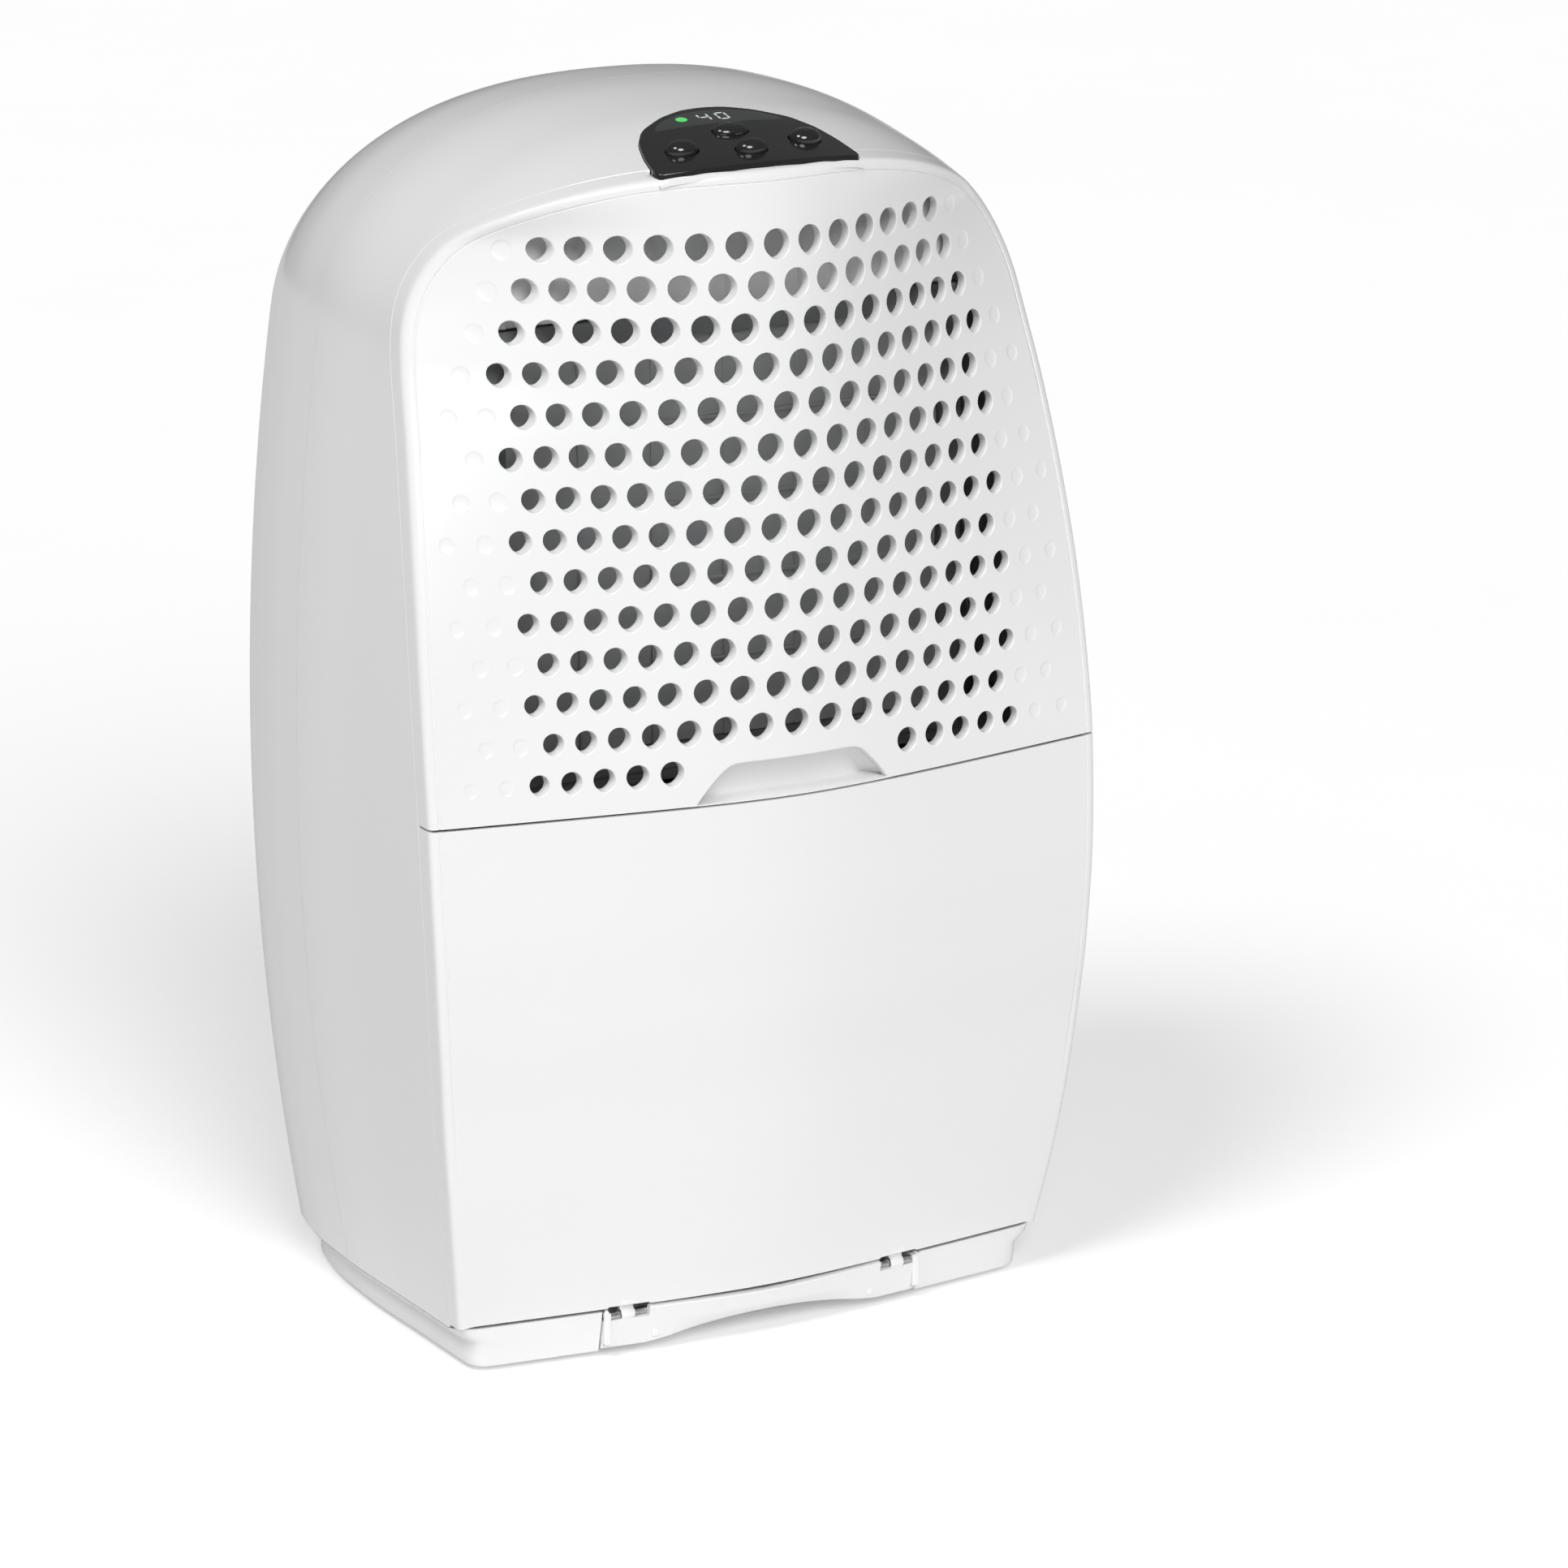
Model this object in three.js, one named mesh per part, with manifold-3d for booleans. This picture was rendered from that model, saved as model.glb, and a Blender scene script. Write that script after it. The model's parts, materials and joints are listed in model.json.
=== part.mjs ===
// Dehumidifier: a domed cabinet with a perforated front, a tank that tilts out on its
// door, and the refrigeration set inside. Millimetres, +Z up, the front faces -Y.
import * as THREE from 'three';
import { mergeVertices } from 'three/addons/utils/BufferGeometryUtils.js';
import Module from 'manifold-3d';

const wasm = await Module();
wasm.setup();

// ---- driving dimensions -------------------------------------------------------------
const HEIGHT = 535;          // cabinet height, without the feet
const DEPTH = 240;
const HALF_WIDTH = 161;      // front outline at its widest, before the sides swell
const WIDEST_AT = 240;       // height of the widest line
const BARREL = 0.00038;      // how fast the sides draw in, per mm squared
const SHOULDER = 425;        // height where the straight sides end and the arch begins
const ARCH_POWER = 2.3;      // fullness of the arch
const WALL = 2.5;
const GAP = 0.4;             // joint between neighbouring mouldings
const SEAM = 250;            // height of the joint between grille and tank door
const RETURN = 10;           // how far the front panels wrap round onto the sides
const PLINTH = 11;
const SKIRT = 18;            // height where the cabinet walls start
const OVERHANG = 7;          // cabinet wall outside the plinth
const FOOT = 3;
const FRONT_SPLIT = 145;     // depth of the joint between front and rear housing

// Depth, swelling of the sides and crown height of each cross-section, front to rear.
const STATIONS = [
  { depth: -20, swell: -3.5, crown: HEIGHT - 35 },
  { depth: 40, swell: 0, crown: HEIGHT - 17 },
  { depth: 92, swell: 3, crown: HEIGHT - 5 },
  { depth: FRONT_SPLIT, swell: 6, crown: HEIGHT },
  { depth: 167, swell: 5.8, crown: HEIGHT - 0.5 },
  { depth: 190, swell: 4, crown: HEIGHT - 4 },
  { depth: 207, swell: 0.5, crown: HEIGHT - 11 },
  { depth: 220, swell: -5, crown: HEIGHT - 22 },
  { depth: 231, swell: -14, crown: HEIGHT - 38 },
  { depth: DEPTH, swell: -30, crown: HEIGHT - 66 },
];

// How far the front stands back at the middle, and how hard it wraps to the sides.
const PROFILE = [
  { height: 0, setback: 31, wrap: 6 },
  { height: 20, setback: 25.5, wrap: 6.5 },
  { height: 50, setback: 17.5, wrap: 7 },
  { height: 85, setback: 11, wrap: 7.2 },
  { height: 120, setback: 6.5, wrap: 7.4 },
  { height: 160, setback: 2, wrap: 7.7 },
  { height: 205, setback: 0, wrap: 8.1 },
  { height: SEAM, setback: 0, wrap: 9 },
  { height: 285, setback: 0.5, wrap: 10.6 },
  { height: 325, setback: 2, wrap: 12.9 },
  { height: 365, setback: 4.5, wrap: 16 },
  { height: 405, setback: 8, wrap: 19.8 },
  { height: 440, setback: 12, wrap: 24 },
  { height: 484, setback: 18, wrap: 27.5 },
  { height: 505, setback: 22, wrap: 20 },
  { height: HEIGHT, setback: 28, wrap: 12 },
];
const WRAP_WIDTH = 45;       // half-width of the rounded nose of the front

// Air holes of the grille.
const HOLE_PITCH = 16.5;
const ROW_PITCH = 16.8;
const TOP_ROW = 484;
const ROW_COUNTS = [13, 14, 15, 16, 15, 16, 15, 16, 15, 16, 15, 16, 15, 16];
const MIDDLE_HOLE = 6;       // radius in the middle of the front
const OUTER_HOLE = 3.6;      // radius beside the edge
const SQUEEZE = 0.0024;      // how the holes close up towards the sides

// Grip in the grille's lower edge.
const GRIP_HALF = 46;
const GRIP_TOP_HALF = 30;
const GRIP_HEIGHT = 17;

// Tank door and its hinge.
const DOOR_FOOT = 19.9;
const HINGE_Y = 33.5;
const HINGE_Z = 16.6;
const PIN_RADIUS = 1.6;
const TOE_HALF = 78;
const TOE_BACK = HINGE_Y + 11.5;   // rear of the toe bar
const TOE_TOP = 17.9;
const SLOT_FROM = 57;
const SLOT_TO = 76;

// Water tank.
const TANK_HALF = 128;
const TANK_BACK = 122;
const TANK_FLOOR = 25;
const TANK_TOP = 221;
const TANK_WALL = 2.4;

// Machine inside.
const DECK = 246;
const BAY_WALL = 127;
const FAN_Z = 352;
const FAN_RADIUS = 76;
const COIL_HALF = 100;
const COIL_FOOT = 266;
const COIL_TOP = 438;
const COMPRESSOR = { x: -58, y: 180, radius: 44, foot: 30, height: 168 };

// Control panel.
const FASCIA = { front: 28, corner: 33, half: 48, shoulder: 60, back: 88, thick: 5 };
const BUTTONS = [
  { name: 'button_power', x: -29, y: 48, rx: 7, ry: 5.5 },
  { name: 'button_fan_speed', x: 29, y: 48, rx: 7, ry: 5.5 },
  { name: 'button_humidity', x: 0, y: 60, rx: 8, ry: 5 },
  { name: 'button_timer', x: 0, y: 41, rx: 7, ry: 5 },
];
const BUTTON_TRAVEL = 1.2;

// ---- solids -------------------------------------------------------------------------
function solid(geometry) {
  const bare = geometry.clone();
  bare.deleteAttribute('normal');
  bare.deleteAttribute('uv');
  const welded = mergeVertices(bare, 1e-4);
  const vertProperties = new Float32Array(welded.attributes.position.array);
  const triVerts = new Uint32Array(welded.index.array);
  return new wasm.Manifold(new wasm.Mesh({ numProp: 3, vertProperties, triVerts }));
}

function union(parts) {
  return parts.slice(1).reduce((sum, part) => sum.add(part), parts[0]);
}

function box(x0, x1, y0, y1, z0, z1) {
  const shape = new THREE.BoxGeometry(x1 - x0, y1 - y0, z1 - z0);
  return solid(shape.translate((x0 + x1) / 2, (y0 + y1) / 2, (z0 + z1) / 2));
}

// A rod between two depths, heights or widths: axis is 'x', 'y' or 'z'.
function rod(axis, radius, from, to, across, up, sides = 24, endRadius = radius) {
  const shape = new THREE.CylinderGeometry(endRadius, radius, to - from, sides);
  const middle = (from + to) / 2;
  if (axis === 'x') {
    return solid(shape.rotateZ(-Math.PI / 2).translate(middle, across, up));
  }
  if (axis === 'y') {
    return solid(shape.translate(across, middle, up));
  }
  return solid(shape.rotateX(Math.PI / 2).translate(across, up, middle));
}

function prism(points, from, to) {
  const outline = new THREE.Shape(points.map(([x, y]) => new THREE.Vector2(x, y)));
  const shape = new THREE.ExtrudeGeometry(outline, { depth: to - from, bevelEnabled: false });
  return solid(shape.translate(0, 0, from));
}

// Outline given across and up, pushed from one depth to another.
function frontPrism(points, from, to) {
  const outline = new THREE.Shape(points.map(([x, z]) => new THREE.Vector2(x, z)));
  const shape = new THREE.ExtrudeGeometry(outline, { depth: to - from, bevelEnabled: false });
  return solid(shape.rotateX(Math.PI / 2).translate(0, to, 0));
}

// Rings of equal point count, joined one after another along local Z.
function loft(rings) {
  const first = rings[0].outline;
  const settings = { depth: rings.length - 1, steps: rings.length - 1, bevelEnabled: false };
  const shape = new THREE.ExtrudeGeometry(new THREE.Shape(first), settings);
  const position = shape.attributes.position;
  for (let i = 0; i < position.count; i += 1) {
    const ring = rings[Math.round(position.getZ(i))];
    const x = position.getX(i);
    const y = position.getY(i);
    const slot = first.findIndex((p) => Math.hypot(p.x - x, p.y - y) < 1e-4);
    position.setXYZ(i, ring.outline[slot].x, ring.outline[slot].y, ring.at);
  }
  return shape;
}

function pipe(points, radius, sides = 8) {
  const path = new THREE.CatmullRomCurve3(points.map((p) => new THREE.Vector3(...p)));
  const round = new THREE.Shape();
  for (let i = 0; i < sides; i += 1) {
    const turn = (2 * Math.PI * i) / sides;
    const spot = [radius * Math.cos(turn), radius * Math.sin(turn)];
    if (i === 0) {
      round.moveTo(...spot);
    } else {
      round.lineTo(...spot);
    }
  }
  const steps = points.length * 3;
  return solid(new THREE.ExtrudeGeometry(round, { extrudePath: path, steps, bevelEnabled: false }));
}

// ---- body shape ---------------------------------------------------------------------
function between(table, key, at, value) {
  const above = table.findIndex((row) => row[key] >= at);
  if (above === -1) {
    return table[table.length - 1][value];
  }
  if (above === 0) {
    return table[0][value];
  }
  const low = table[above - 1];
  const high = table[above];
  const part = (at - low[key]) / (high[key] - low[key]);
  return low[value] + part * (high[value] - low[value]);
}

function sideAt(height) {
  return HALF_WIDTH - BARREL * (height - WIDEST_AT) ** 2;
}

const ARCH_BASE = SHOULDER - 10;
const ARCH_HALF = sideAt(SHOULDER) + 0.8;
const ARCH_CROWN = HEIGHT - 14;

// Half the front outline, from the skirt up to the crown.
function halfOutline(skirt) {
  const points = [];
  for (let i = 0; i <= 8; i += 1) {
    const height = skirt + ((SHOULDER - skirt) * i) / 8;
    points.push([sideAt(height), height]);
  }
  for (const turn of [14, 24, 34, 45, 56, 67, 79, 90]) {
    const angle = (turn * Math.PI) / 180;
    const across = ARCH_HALF * Math.cos(angle) ** (2 / ARCH_POWER);
    const rise = (ARCH_CROWN - ARCH_BASE) * Math.sin(angle) ** (2 / ARCH_POWER);
    points.push([turn === 90 ? 0 : across, ARCH_BASE + rise]);
  }
  return points;
}

function sectionOutline(station, inset, skirt) {
  const wide = 1 + (station.swell - inset) / HALF_WIDTH;
  const tall = (station.crown - inset - WIDEST_AT) / (ARCH_CROWN - WIDEST_AT);
  const right = halfOutline(skirt).map(([x, z]) => {
    const lifted = z > WIDEST_AT ? WIDEST_AT + (z - WIDEST_AT) * tall : z;
    return new THREE.Vector2(x * wide, lifted);
  });
  const left = right.slice(0, -1).reverse().map((p) => new THREE.Vector2(-p.x, p.y));
  return [...right, ...left];
}

function frontDepth(x, z) {
  const setback = between(PROFILE, 'height', z, 'setback');
  const wrap = between(PROFILE, 'height', z, 'wrap');
  return setback + wrap * (Math.sqrt(1 + (x / WRAP_WIDTH) ** 2) - 1);
}

// Everything behind the front surface set back by a distance.
function behindFront(distance, columns = 10) {
  const levels = PROFILE.map((row) => row.height).filter((height) => height > 0);
  const shape = new THREE.BoxGeometry(2, 2, 2, columns, 1, levels.length);
  const position = shape.attributes.position;
  for (let i = 0; i < position.count; i += 1) {
    const x = position.getX(i) * 190;
    const level = Math.round(((position.getZ(i) + 1) / 2) * levels.length);
    const z = level === 0 ? -20 : level === levels.length ? HEIGHT + 60 : levels[level - 1];
    const y = position.getY(i) < 0 ? frontDepth(x, Math.max(z, 0)) + distance : DEPTH + 80;
    position.setXYZ(i, x, y, z);
  }
  return solid(shape);
}

function body(inset, skirt = SKIRT) {
  const rings = [...STATIONS].reverse().map((station) => {
    const rear = station.depth === DEPTH ? inset : 0;
    return { outline: sectionOutline(station, inset, skirt), at: rear - station.depth };
  });
  const swept = solid(loft(rings).rotateX(Math.PI / 2));
  return swept.intersect(behindFront(inset));
}

function slab(z0, z1) {
  return box(-250, 250, -60, DEPTH + 60, z0, z1);
}

const outer = body(0);
const inner = body(WALL, SKIRT - 5);
const shell = outer.subtract(inner);
const panels = shell.subtract(behindFront(RETURN));
const housing = shell.intersect(behindFront(RETURN + GAP));

// ---- control panel ------------------------------------------------------------------
function fasciaOutline(grow) {
  const { front, corner, half, shoulder, back } = FASCIA;
  const right = [
    [half + grow, corner - grow],
    [half - 4 + grow, shoulder],
    [half - 13 + grow, shoulder + 14 + grow],
    [half - 27, back - 6 + grow],
  ];
  const left = [...right].reverse().map(([x, y]) => [-x, y]);
  const frontLeft = [-half * 0.5, front + 1.3 - grow];
  const frontRight = [half * 0.5, front + 1.3 - grow];
  return [frontRight, ...right, [0, back + grow], ...left, frontLeft, [0, front - grow]];
}

const fasciaWell = prism(fasciaOutline(GAP), HEIGHT - 30, HEIGHT + 20);
const fasciaFloor = body(FASCIA.thick, SKIRT - 8);
const fasciaBody = outer.intersect(prism(fasciaOutline(0), HEIGHT - 30, HEIGHT + 20));
const buttonTilt = Math.atan(12 / (92 - 40));

function crownAt(y) {
  return between(STATIONS, 'depth', y, 'crown');
}

function ellipseAt(button, grow, down, up, dome) {
  const shape = new THREE.CylinderGeometry(1, 1, 1, 16, 1);
  const rx = button.rx + grow;
  const ry = button.ry + grow;
  shape.rotateX(Math.PI / 2).scale(rx, ry, up + down).translate(0, 0, (up - down) / 2);
  let piece = solid(shape);
  if (dome) {
    const cap = new THREE.SphereGeometry(1, 16, 6).scale(rx * 0.97, ry * 0.97, dome);
    piece = piece.add(solid(cap.translate(0, 0, up - 0.2)));
  }
  const turned = piece.rotate([(buttonTilt * 180) / Math.PI, 0, 0]);
  return turned.translate([button.x, button.y, crownAt(button.y) - 1.4]);
}

const buttonWells = union(BUTTONS.map((button) => ellipseAt(button, 0.5, 12, 12, 0)));
const displayOutline = [[-31, 69], [31, 69], [25, 77], [12, 82.5], [-12, 82.5], [-25, 77]];
const displaySlot = prism(displayOutline.map(([x, y]) => [x * 1.015, y + (y > 70 ? 0.4 : -0.4)]),
  HEIGHT - 30, HEIGHT + 20);
const displayGlass = fasciaBody.intersect(prism(displayOutline, HEIGHT - 30, HEIGHT + 20))
  .subtract(body(2, SKIRT - 5));
const displaySeat = displaySlot.subtract(body(2.4, SKIRT - 6));
const fascia = fasciaBody.subtract(fasciaFloor).subtract(buttonWells).subtract(displaySeat);

// ---- front panels -------------------------------------------------------------------
function holeSpots() {
  const spots = [];
  ROW_COUNTS.forEach((count, row) => {
    for (let i = 0; i < count; i += 1) {
      const step = i - (count - 1) / 2;
      const last = row === ROW_COUNTS.length - 1;
      if (!(last && Math.abs(step) < 3)) {
        const x = HOLE_PITCH * step * (1 - SQUEEZE * step * step + 1.5e-5 * step ** 4);
        spots.push([x, TOP_ROW - ROW_PITCH * row]);
      }
    }
  });
  return spots;
}

function holeRadius(x, z) {
  const across = Math.abs(x) / HALF_WIDTH;
  const low = Math.max(0, (400 - z) / 200);
  return MIDDLE_HOLE - (MIDDLE_HOLE - OUTER_HOLE) * Math.min(1, across ** 1.6 + 0.25 * low);
}

function hexagon(x, z, radius) {
  const corners = [];
  for (let i = 0; i < 6; i += 1) {
    const turn = (Math.PI * (i + 0.5)) / 3;
    corners.push([x + radius * Math.cos(turn), z + radius * Math.sin(turn)]);
  }
  return corners;
}

const holes = holeSpots().map(([x, z]) => {
  const middle = frontDepth(x, z);
  return frontPrism(hexagon(x, z, holeRadius(x, z)), middle - 8, middle + 12);
});
const grip = frontPrism([
  [-GRIP_HALF, SEAM - 2],
  [GRIP_HALF, SEAM - 2],
  [GRIP_TOP_HALF + 6, SEAM + GRIP_HEIGHT - 4],
  [GRIP_TOP_HALF, SEAM + GRIP_HEIGHT],
  [-GRIP_TOP_HALF, SEAM + GRIP_HEIGHT],
  [-GRIP_TOP_HALF - 6, SEAM + GRIP_HEIGHT - 4],
], -20, 60);
const grille = panels
  .intersect(slab(SEAM + GAP, HEIGHT + 20))
  .subtract(wasm.Manifold.compose(holes))
  .subtract(grip)
  .subtract(fasciaWell);

// A sloping cup behind the grip, open to the front and closed below by its floor.
const cupOut = frontPrism([
  [-GRIP_HALF - 3, SEAM + 1],
  [GRIP_HALF + 3, SEAM + 1],
  [GRIP_HALF + 3, SEAM + GRIP_HEIGHT + 3],
  [-GRIP_HALF - 3, SEAM + GRIP_HEIGHT + 3],
], 0, 34);
const cupIn = frontPrism([
  [-GRIP_HALF, SEAM + 3],
  [GRIP_HALF, SEAM + 3],
  [GRIP_TOP_HALF + 6, SEAM + GRIP_HEIGHT - 4],
  [GRIP_TOP_HALF, SEAM + GRIP_HEIGHT],
  [-GRIP_TOP_HALF, SEAM + GRIP_HEIGHT],
  [-GRIP_TOP_HALF - 6, SEAM + GRIP_HEIGHT - 4],
], -10, 32);
const gripCup = cupOut.subtract(cupIn).intersect(behindFront(WALL + GAP));

const hooks = union([-1, 1].map((side) => {
  const from = side * 66.5 - 3.5;
  const ring = rod('x', 3, from, from + 7, HINGE_Y, HINGE_Z, 16);
  const top = TANK_FLOOR - 0.6;
  const arm = box(from, from + 7, HINGE_Y - 1, HINGE_Y + 2.8, HINGE_Z, top);
  const skin = frontDepth(side * 66.5, DOOR_FOOT) + 1.5;
  return ring.add(arm).add(box(from, from + 7, skin, HINGE_Y + 2.8, top - 2.6, top));
}));
const pinBores = rod('x', PIN_RADIUS + 0.3, -100, 100, HINGE_Y, HINGE_Z, 16);
const slots = union([-1, 1].flatMap((side) => {
  const low = Math.min(side * SLOT_FROM, side * SLOT_TO);
  const wide = box(low, low + SLOT_TO - SLOT_FROM, 0, 60, HINGE_Z - 1.6, HINGE_Z + 5);
  const deep = box(side * 66.5 - 4.5, side * 66.5 + 4.5, 0, 60, HINGE_Z - 4, HINGE_Z + 5);
  return [wide, deep];
}));
const doorSkin = panels.intersect(slab(DOOR_FOOT, SEAM - GAP)).subtract(slots);
const door = doorSkin.add(hooks).subtract(pinBores);

// ---- plinth, base and toe -----------------------------------------------------------
const SIDE_DEPTHS = [64, 92, 120, FRONT_SPLIT, 167, 190, 207, 220, 231, DEPTH];
const FRONT_STEPS = [-1, -0.9, -0.72, -0.5, -0.25, 0, 0.25, 0.5, 0.72, 0.9, 1];

function planHalf(z, depth, inset) {
  const swell = between(STATIONS, 'depth', depth, 'swell');
  return sideAt(Math.max(z, SKIRT)) * (1 + swell / HALF_WIDTH) - inset;
}

function planOutline(z, inset, rear) {
  const corner = frontDepth(sideAt(SKIRT), z);
  const half = planHalf(z, corner, inset);
  const front = FRONT_STEPS.map((t) => {
    const x = t * half;
    return new THREE.Vector2(x, frontDepth(x, z) + (Math.abs(t) === 1 ? 4 : 0));
  });
  const right = SIDE_DEPTHS.map((depth) => {
    const y = depth === DEPTH ? DEPTH - rear : depth - rear * ((depth - 64) / 200);
    return new THREE.Vector2(planHalf(z, depth, inset), y);
  });
  const left = [...right].reverse().map((p) => new THREE.Vector2(-p.x, p.y));
  return [...front, ...right, ...left];
}

const baseOut = solid(loft([
  { outline: planOutline(0, OVERHANG, OVERHANG), at: 0 },
  { outline: planOutline(PLINTH, OVERHANG, OVERHANG), at: PLINTH },
  { outline: planOutline(SKIRT - GAP, 0.3, 0.3), at: SKIRT - GAP },
]));
const baseIn = solid(loft([
  { outline: planOutline(3, OVERHANG + WALL, OVERHANG + WALL), at: 3 },
  { outline: planOutline(PLINTH, OVERHANG + WALL, OVERHANG + WALL), at: PLINTH + 1 },
  { outline: planOutline(SKIRT, WALL + 0.3, WALL + 0.3), at: SKIRT + 1 },
])).intersect(behindFront(WALL + 1));
const wellBack = TOE_BACK + 1;
const toeWell = box(-TOE_HALF - GAP, TOE_HALF + GAP, -20, wellBack, -5, SKIRT + 10);
const footSpots = [[-108, 70], [108, 70], [-108, 205], [108, 205]];
const footPegs = union(footSpots.map(([x, y]) => rod('z', 4.4, -1, 8, x, y, 16)));
const base = baseOut
  .subtract(baseIn)
  .subtract(toeWell)
  .add(box(-TOE_HALF - 6, TOE_HALF + 6, wellBack + GAP, wellBack + 3, 1, SKIRT - 1))
  .subtract(footPegs);

const pinLugs = union([-1, 1].flatMap((side) => [53, 76.2].map((x) => {
  const from = side * x - 1.7;
  const skin = Math.min(HINGE_Y - 2.5, frontDepth(x, 4) + 2.5);
  return box(from, from + 3.4, skin, TOE_BACK, 4, HINGE_Z + 2.2);
})));
const pinTroughs = union([-1, 1].map((side) => {
  const low = side < 0 ? -TOE_HALF - 1 : 50;
  const reach = PIN_RADIUS + 0.6;
  return box(low, low + 29, HINGE_Y - reach, HINGE_Y + reach, HINGE_Z - reach, TOE_TOP + 1);
}));
const toeArch = frontPrism([
  [-56, -2], [56, -2], [34, 4.5], [16, 7.5], [-16, 7.5], [-34, 4.5],
], 0, 60);
const toe = behindFront(0)
  .subtract(behindFront(5))
  .intersect(box(-TOE_HALF, TOE_HALF, 0, 60, 1.5, TOE_TOP))
  .subtract(slots)
  .subtract(pinTroughs)
  .add(pinLugs)
  .add(box(-TOE_HALF + 6, TOE_HALF - 6, HINGE_Y + 4.5, TOE_BACK, 8.5, 11))
  .subtract(toeArch)
  .subtract(pinBores);

function hingePin(side) {
  const low = side < 0 ? -78 : 50;
  return rod('x', PIN_RADIUS, low, low + 28, HINGE_Y, HINGE_Z, 16);
}

function foot([x, y]) {
  return rod('z', 9, -FOOT, -0.3, x, y, 24, 10).add(rod('z', 4, -0.6, 6, x, y, 16));
}

// ---- housing ------------------------------------------------------------------------
const OUTLET = { half: 68, low: 284, high: 416 };
const HAND = { half: 50, low: 428, high: 452 };
const screwSpots = [[-95, 60], [95, 60], [-105, 340], [105, 340]];
const frontHousing = housing
  .intersect(box(-250, 250, -60, FRONT_SPLIT - GAP / 2, SKIRT, HEIGHT + 20))
  .subtract(fasciaWell);
const rearOpenings = [
  box(-OUTLET.half, OUTLET.half, DEPTH - 8, DEPTH + 5, OUTLET.low, OUTLET.high),
  box(-HAND.half, HAND.half, DEPTH - 8, DEPTH + 5, HAND.low, HAND.high),
  rod('y', 7.4, DEPTH - 8, DEPTH + 5, 100, 38, 20),
  ...screwSpots.map(([x, z]) => rod('y', 4.2, DEPTH - 8, DEPTH + 5, x, z, 12)),
];
const rearCover = housing
  .intersect(box(-250, 250, FRONT_SPLIT + GAP / 2, DEPTH + 60, SKIRT, HEIGHT + 20))
  .subtract(union(rearOpenings));

function outletGrille() {
  const fit = 0.4;
  const low = OUTLET.low + fit;
  const high = OUTLET.high - fit;
  const half = OUTLET.half - fit;
  const plate = box(-half, half, DEPTH - 5, DEPTH - 0.5, low, high);
  const count = 9;
  const pitch = (high - low - 8) / count;
  const gaps = [];
  for (let i = 0; i < count; i += 1) {
    const z = low + 4 + pitch * (i + 0.5);
    gaps.push(box(4 - half, half - 4, DEPTH - 9, DEPTH + 2, z - pitch * 0.28, z + pitch * 0.28));
  }
  return plate.subtract(union(gaps));
}

function handCup() {
  const fit = 0.4;
  const { half, low, high } = HAND;
  const cup = box(fit - half, half - fit, DEPTH - 26, DEPTH - 0.5, low + fit, high - fit);
  return cup.subtract(box(3 - half, half - 3, DEPTH - 24, DEPTH + 5, low + 3, high - 3));
}

function screw([x, z]) {
  const head = rod('y', 3.7, DEPTH - 3.2, DEPTH - 0.6, x, z, 16);
  const slot = box(x - 2.4, x + 2.4, DEPTH - 1.6, DEPTH, z - 0.4, z + 0.4);
  return head.add(rod('y', 1.8, DEPTH - 18, DEPTH - 3, x, z, 12)).subtract(slot);
}

function gland() {
  const barrel = rod('y', 7, DEPTH - 14, DEPTH - 0.5, 100, 38, 20);
  const nut = rod('y', 9.5, DEPTH - 14, DEPTH - WALL - 0.4, 100, 38, 6);
  return barrel.add(nut).subtract(rod('y', 3.6, DEPTH - 20, DEPTH + 5, 100, 38, 16));
}

// ---- water tank ---------------------------------------------------------------------
function tankOutline(z, inset) {
  const half = TANK_HALF - inset;
  const front = [-1, -0.8, -0.6, -0.4, -0.2, 0, 0.2, 0.4, 0.6, 0.8, 1].map((t) => (
    new THREE.Vector2(t * half, frontDepth(t * half, z) + WALL + 2 + inset)
  ));
  const rear = [[half, TANK_BACK - 14], [half - 4, TANK_BACK - 4 - inset],
    [half - 14, TANK_BACK - inset]].map(([x, y]) => new THREE.Vector2(x, y));
  const left = [...rear].reverse().map((p) => new THREE.Vector2(-p.x, p.y));
  return [...front, ...rear, ...left];
}

function tankLoft(inset, low, high) {
  const heights = [low, 50, 85, 120, 160, high];
  return solid(loft(heights.map((z) => ({ outline: tankOutline(z, inset), at: z }))));
}

const tank = tankLoft(0, TANK_FLOOR, TANK_TOP)
  .subtract(tankLoft(TANK_WALL, TANK_FLOOR + TANK_WALL, TANK_TOP + 5));
const lidOutline = tankOutline(TANK_TOP, 0).map((p) => [p.x, p.y]);
const lid = prism(lidOutline, TANK_TOP + 0.3, TANK_TOP + 2.8)
  .subtract(rod('z', 14, TANK_TOP - 5, TANK_TOP + 9, 0, 96, 24))
  .subtract(box(-110, -70, 84, 112, TANK_TOP - 5, TANK_TOP + 9))
  .add(box(66, 74, 89, 92, TANK_TOP - 23, TANK_TOP + 1))
  .add(box(66, 74, 104, 107, TANK_TOP - 23, TANK_TOP + 1))
  .subtract(rod('y', 1.9, 80, 120, 70, 202, 12));
const float = union([
  rod('y', 3.6, 94, 102, 70, 202, 16),
  box(30, 70, 96, 100, 200.4, 203.6),
  box(14, 44, 84, 112, 192, 206),
  rod('y', 1.5, 89, 107, 70, 202, 12),
]);

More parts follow.
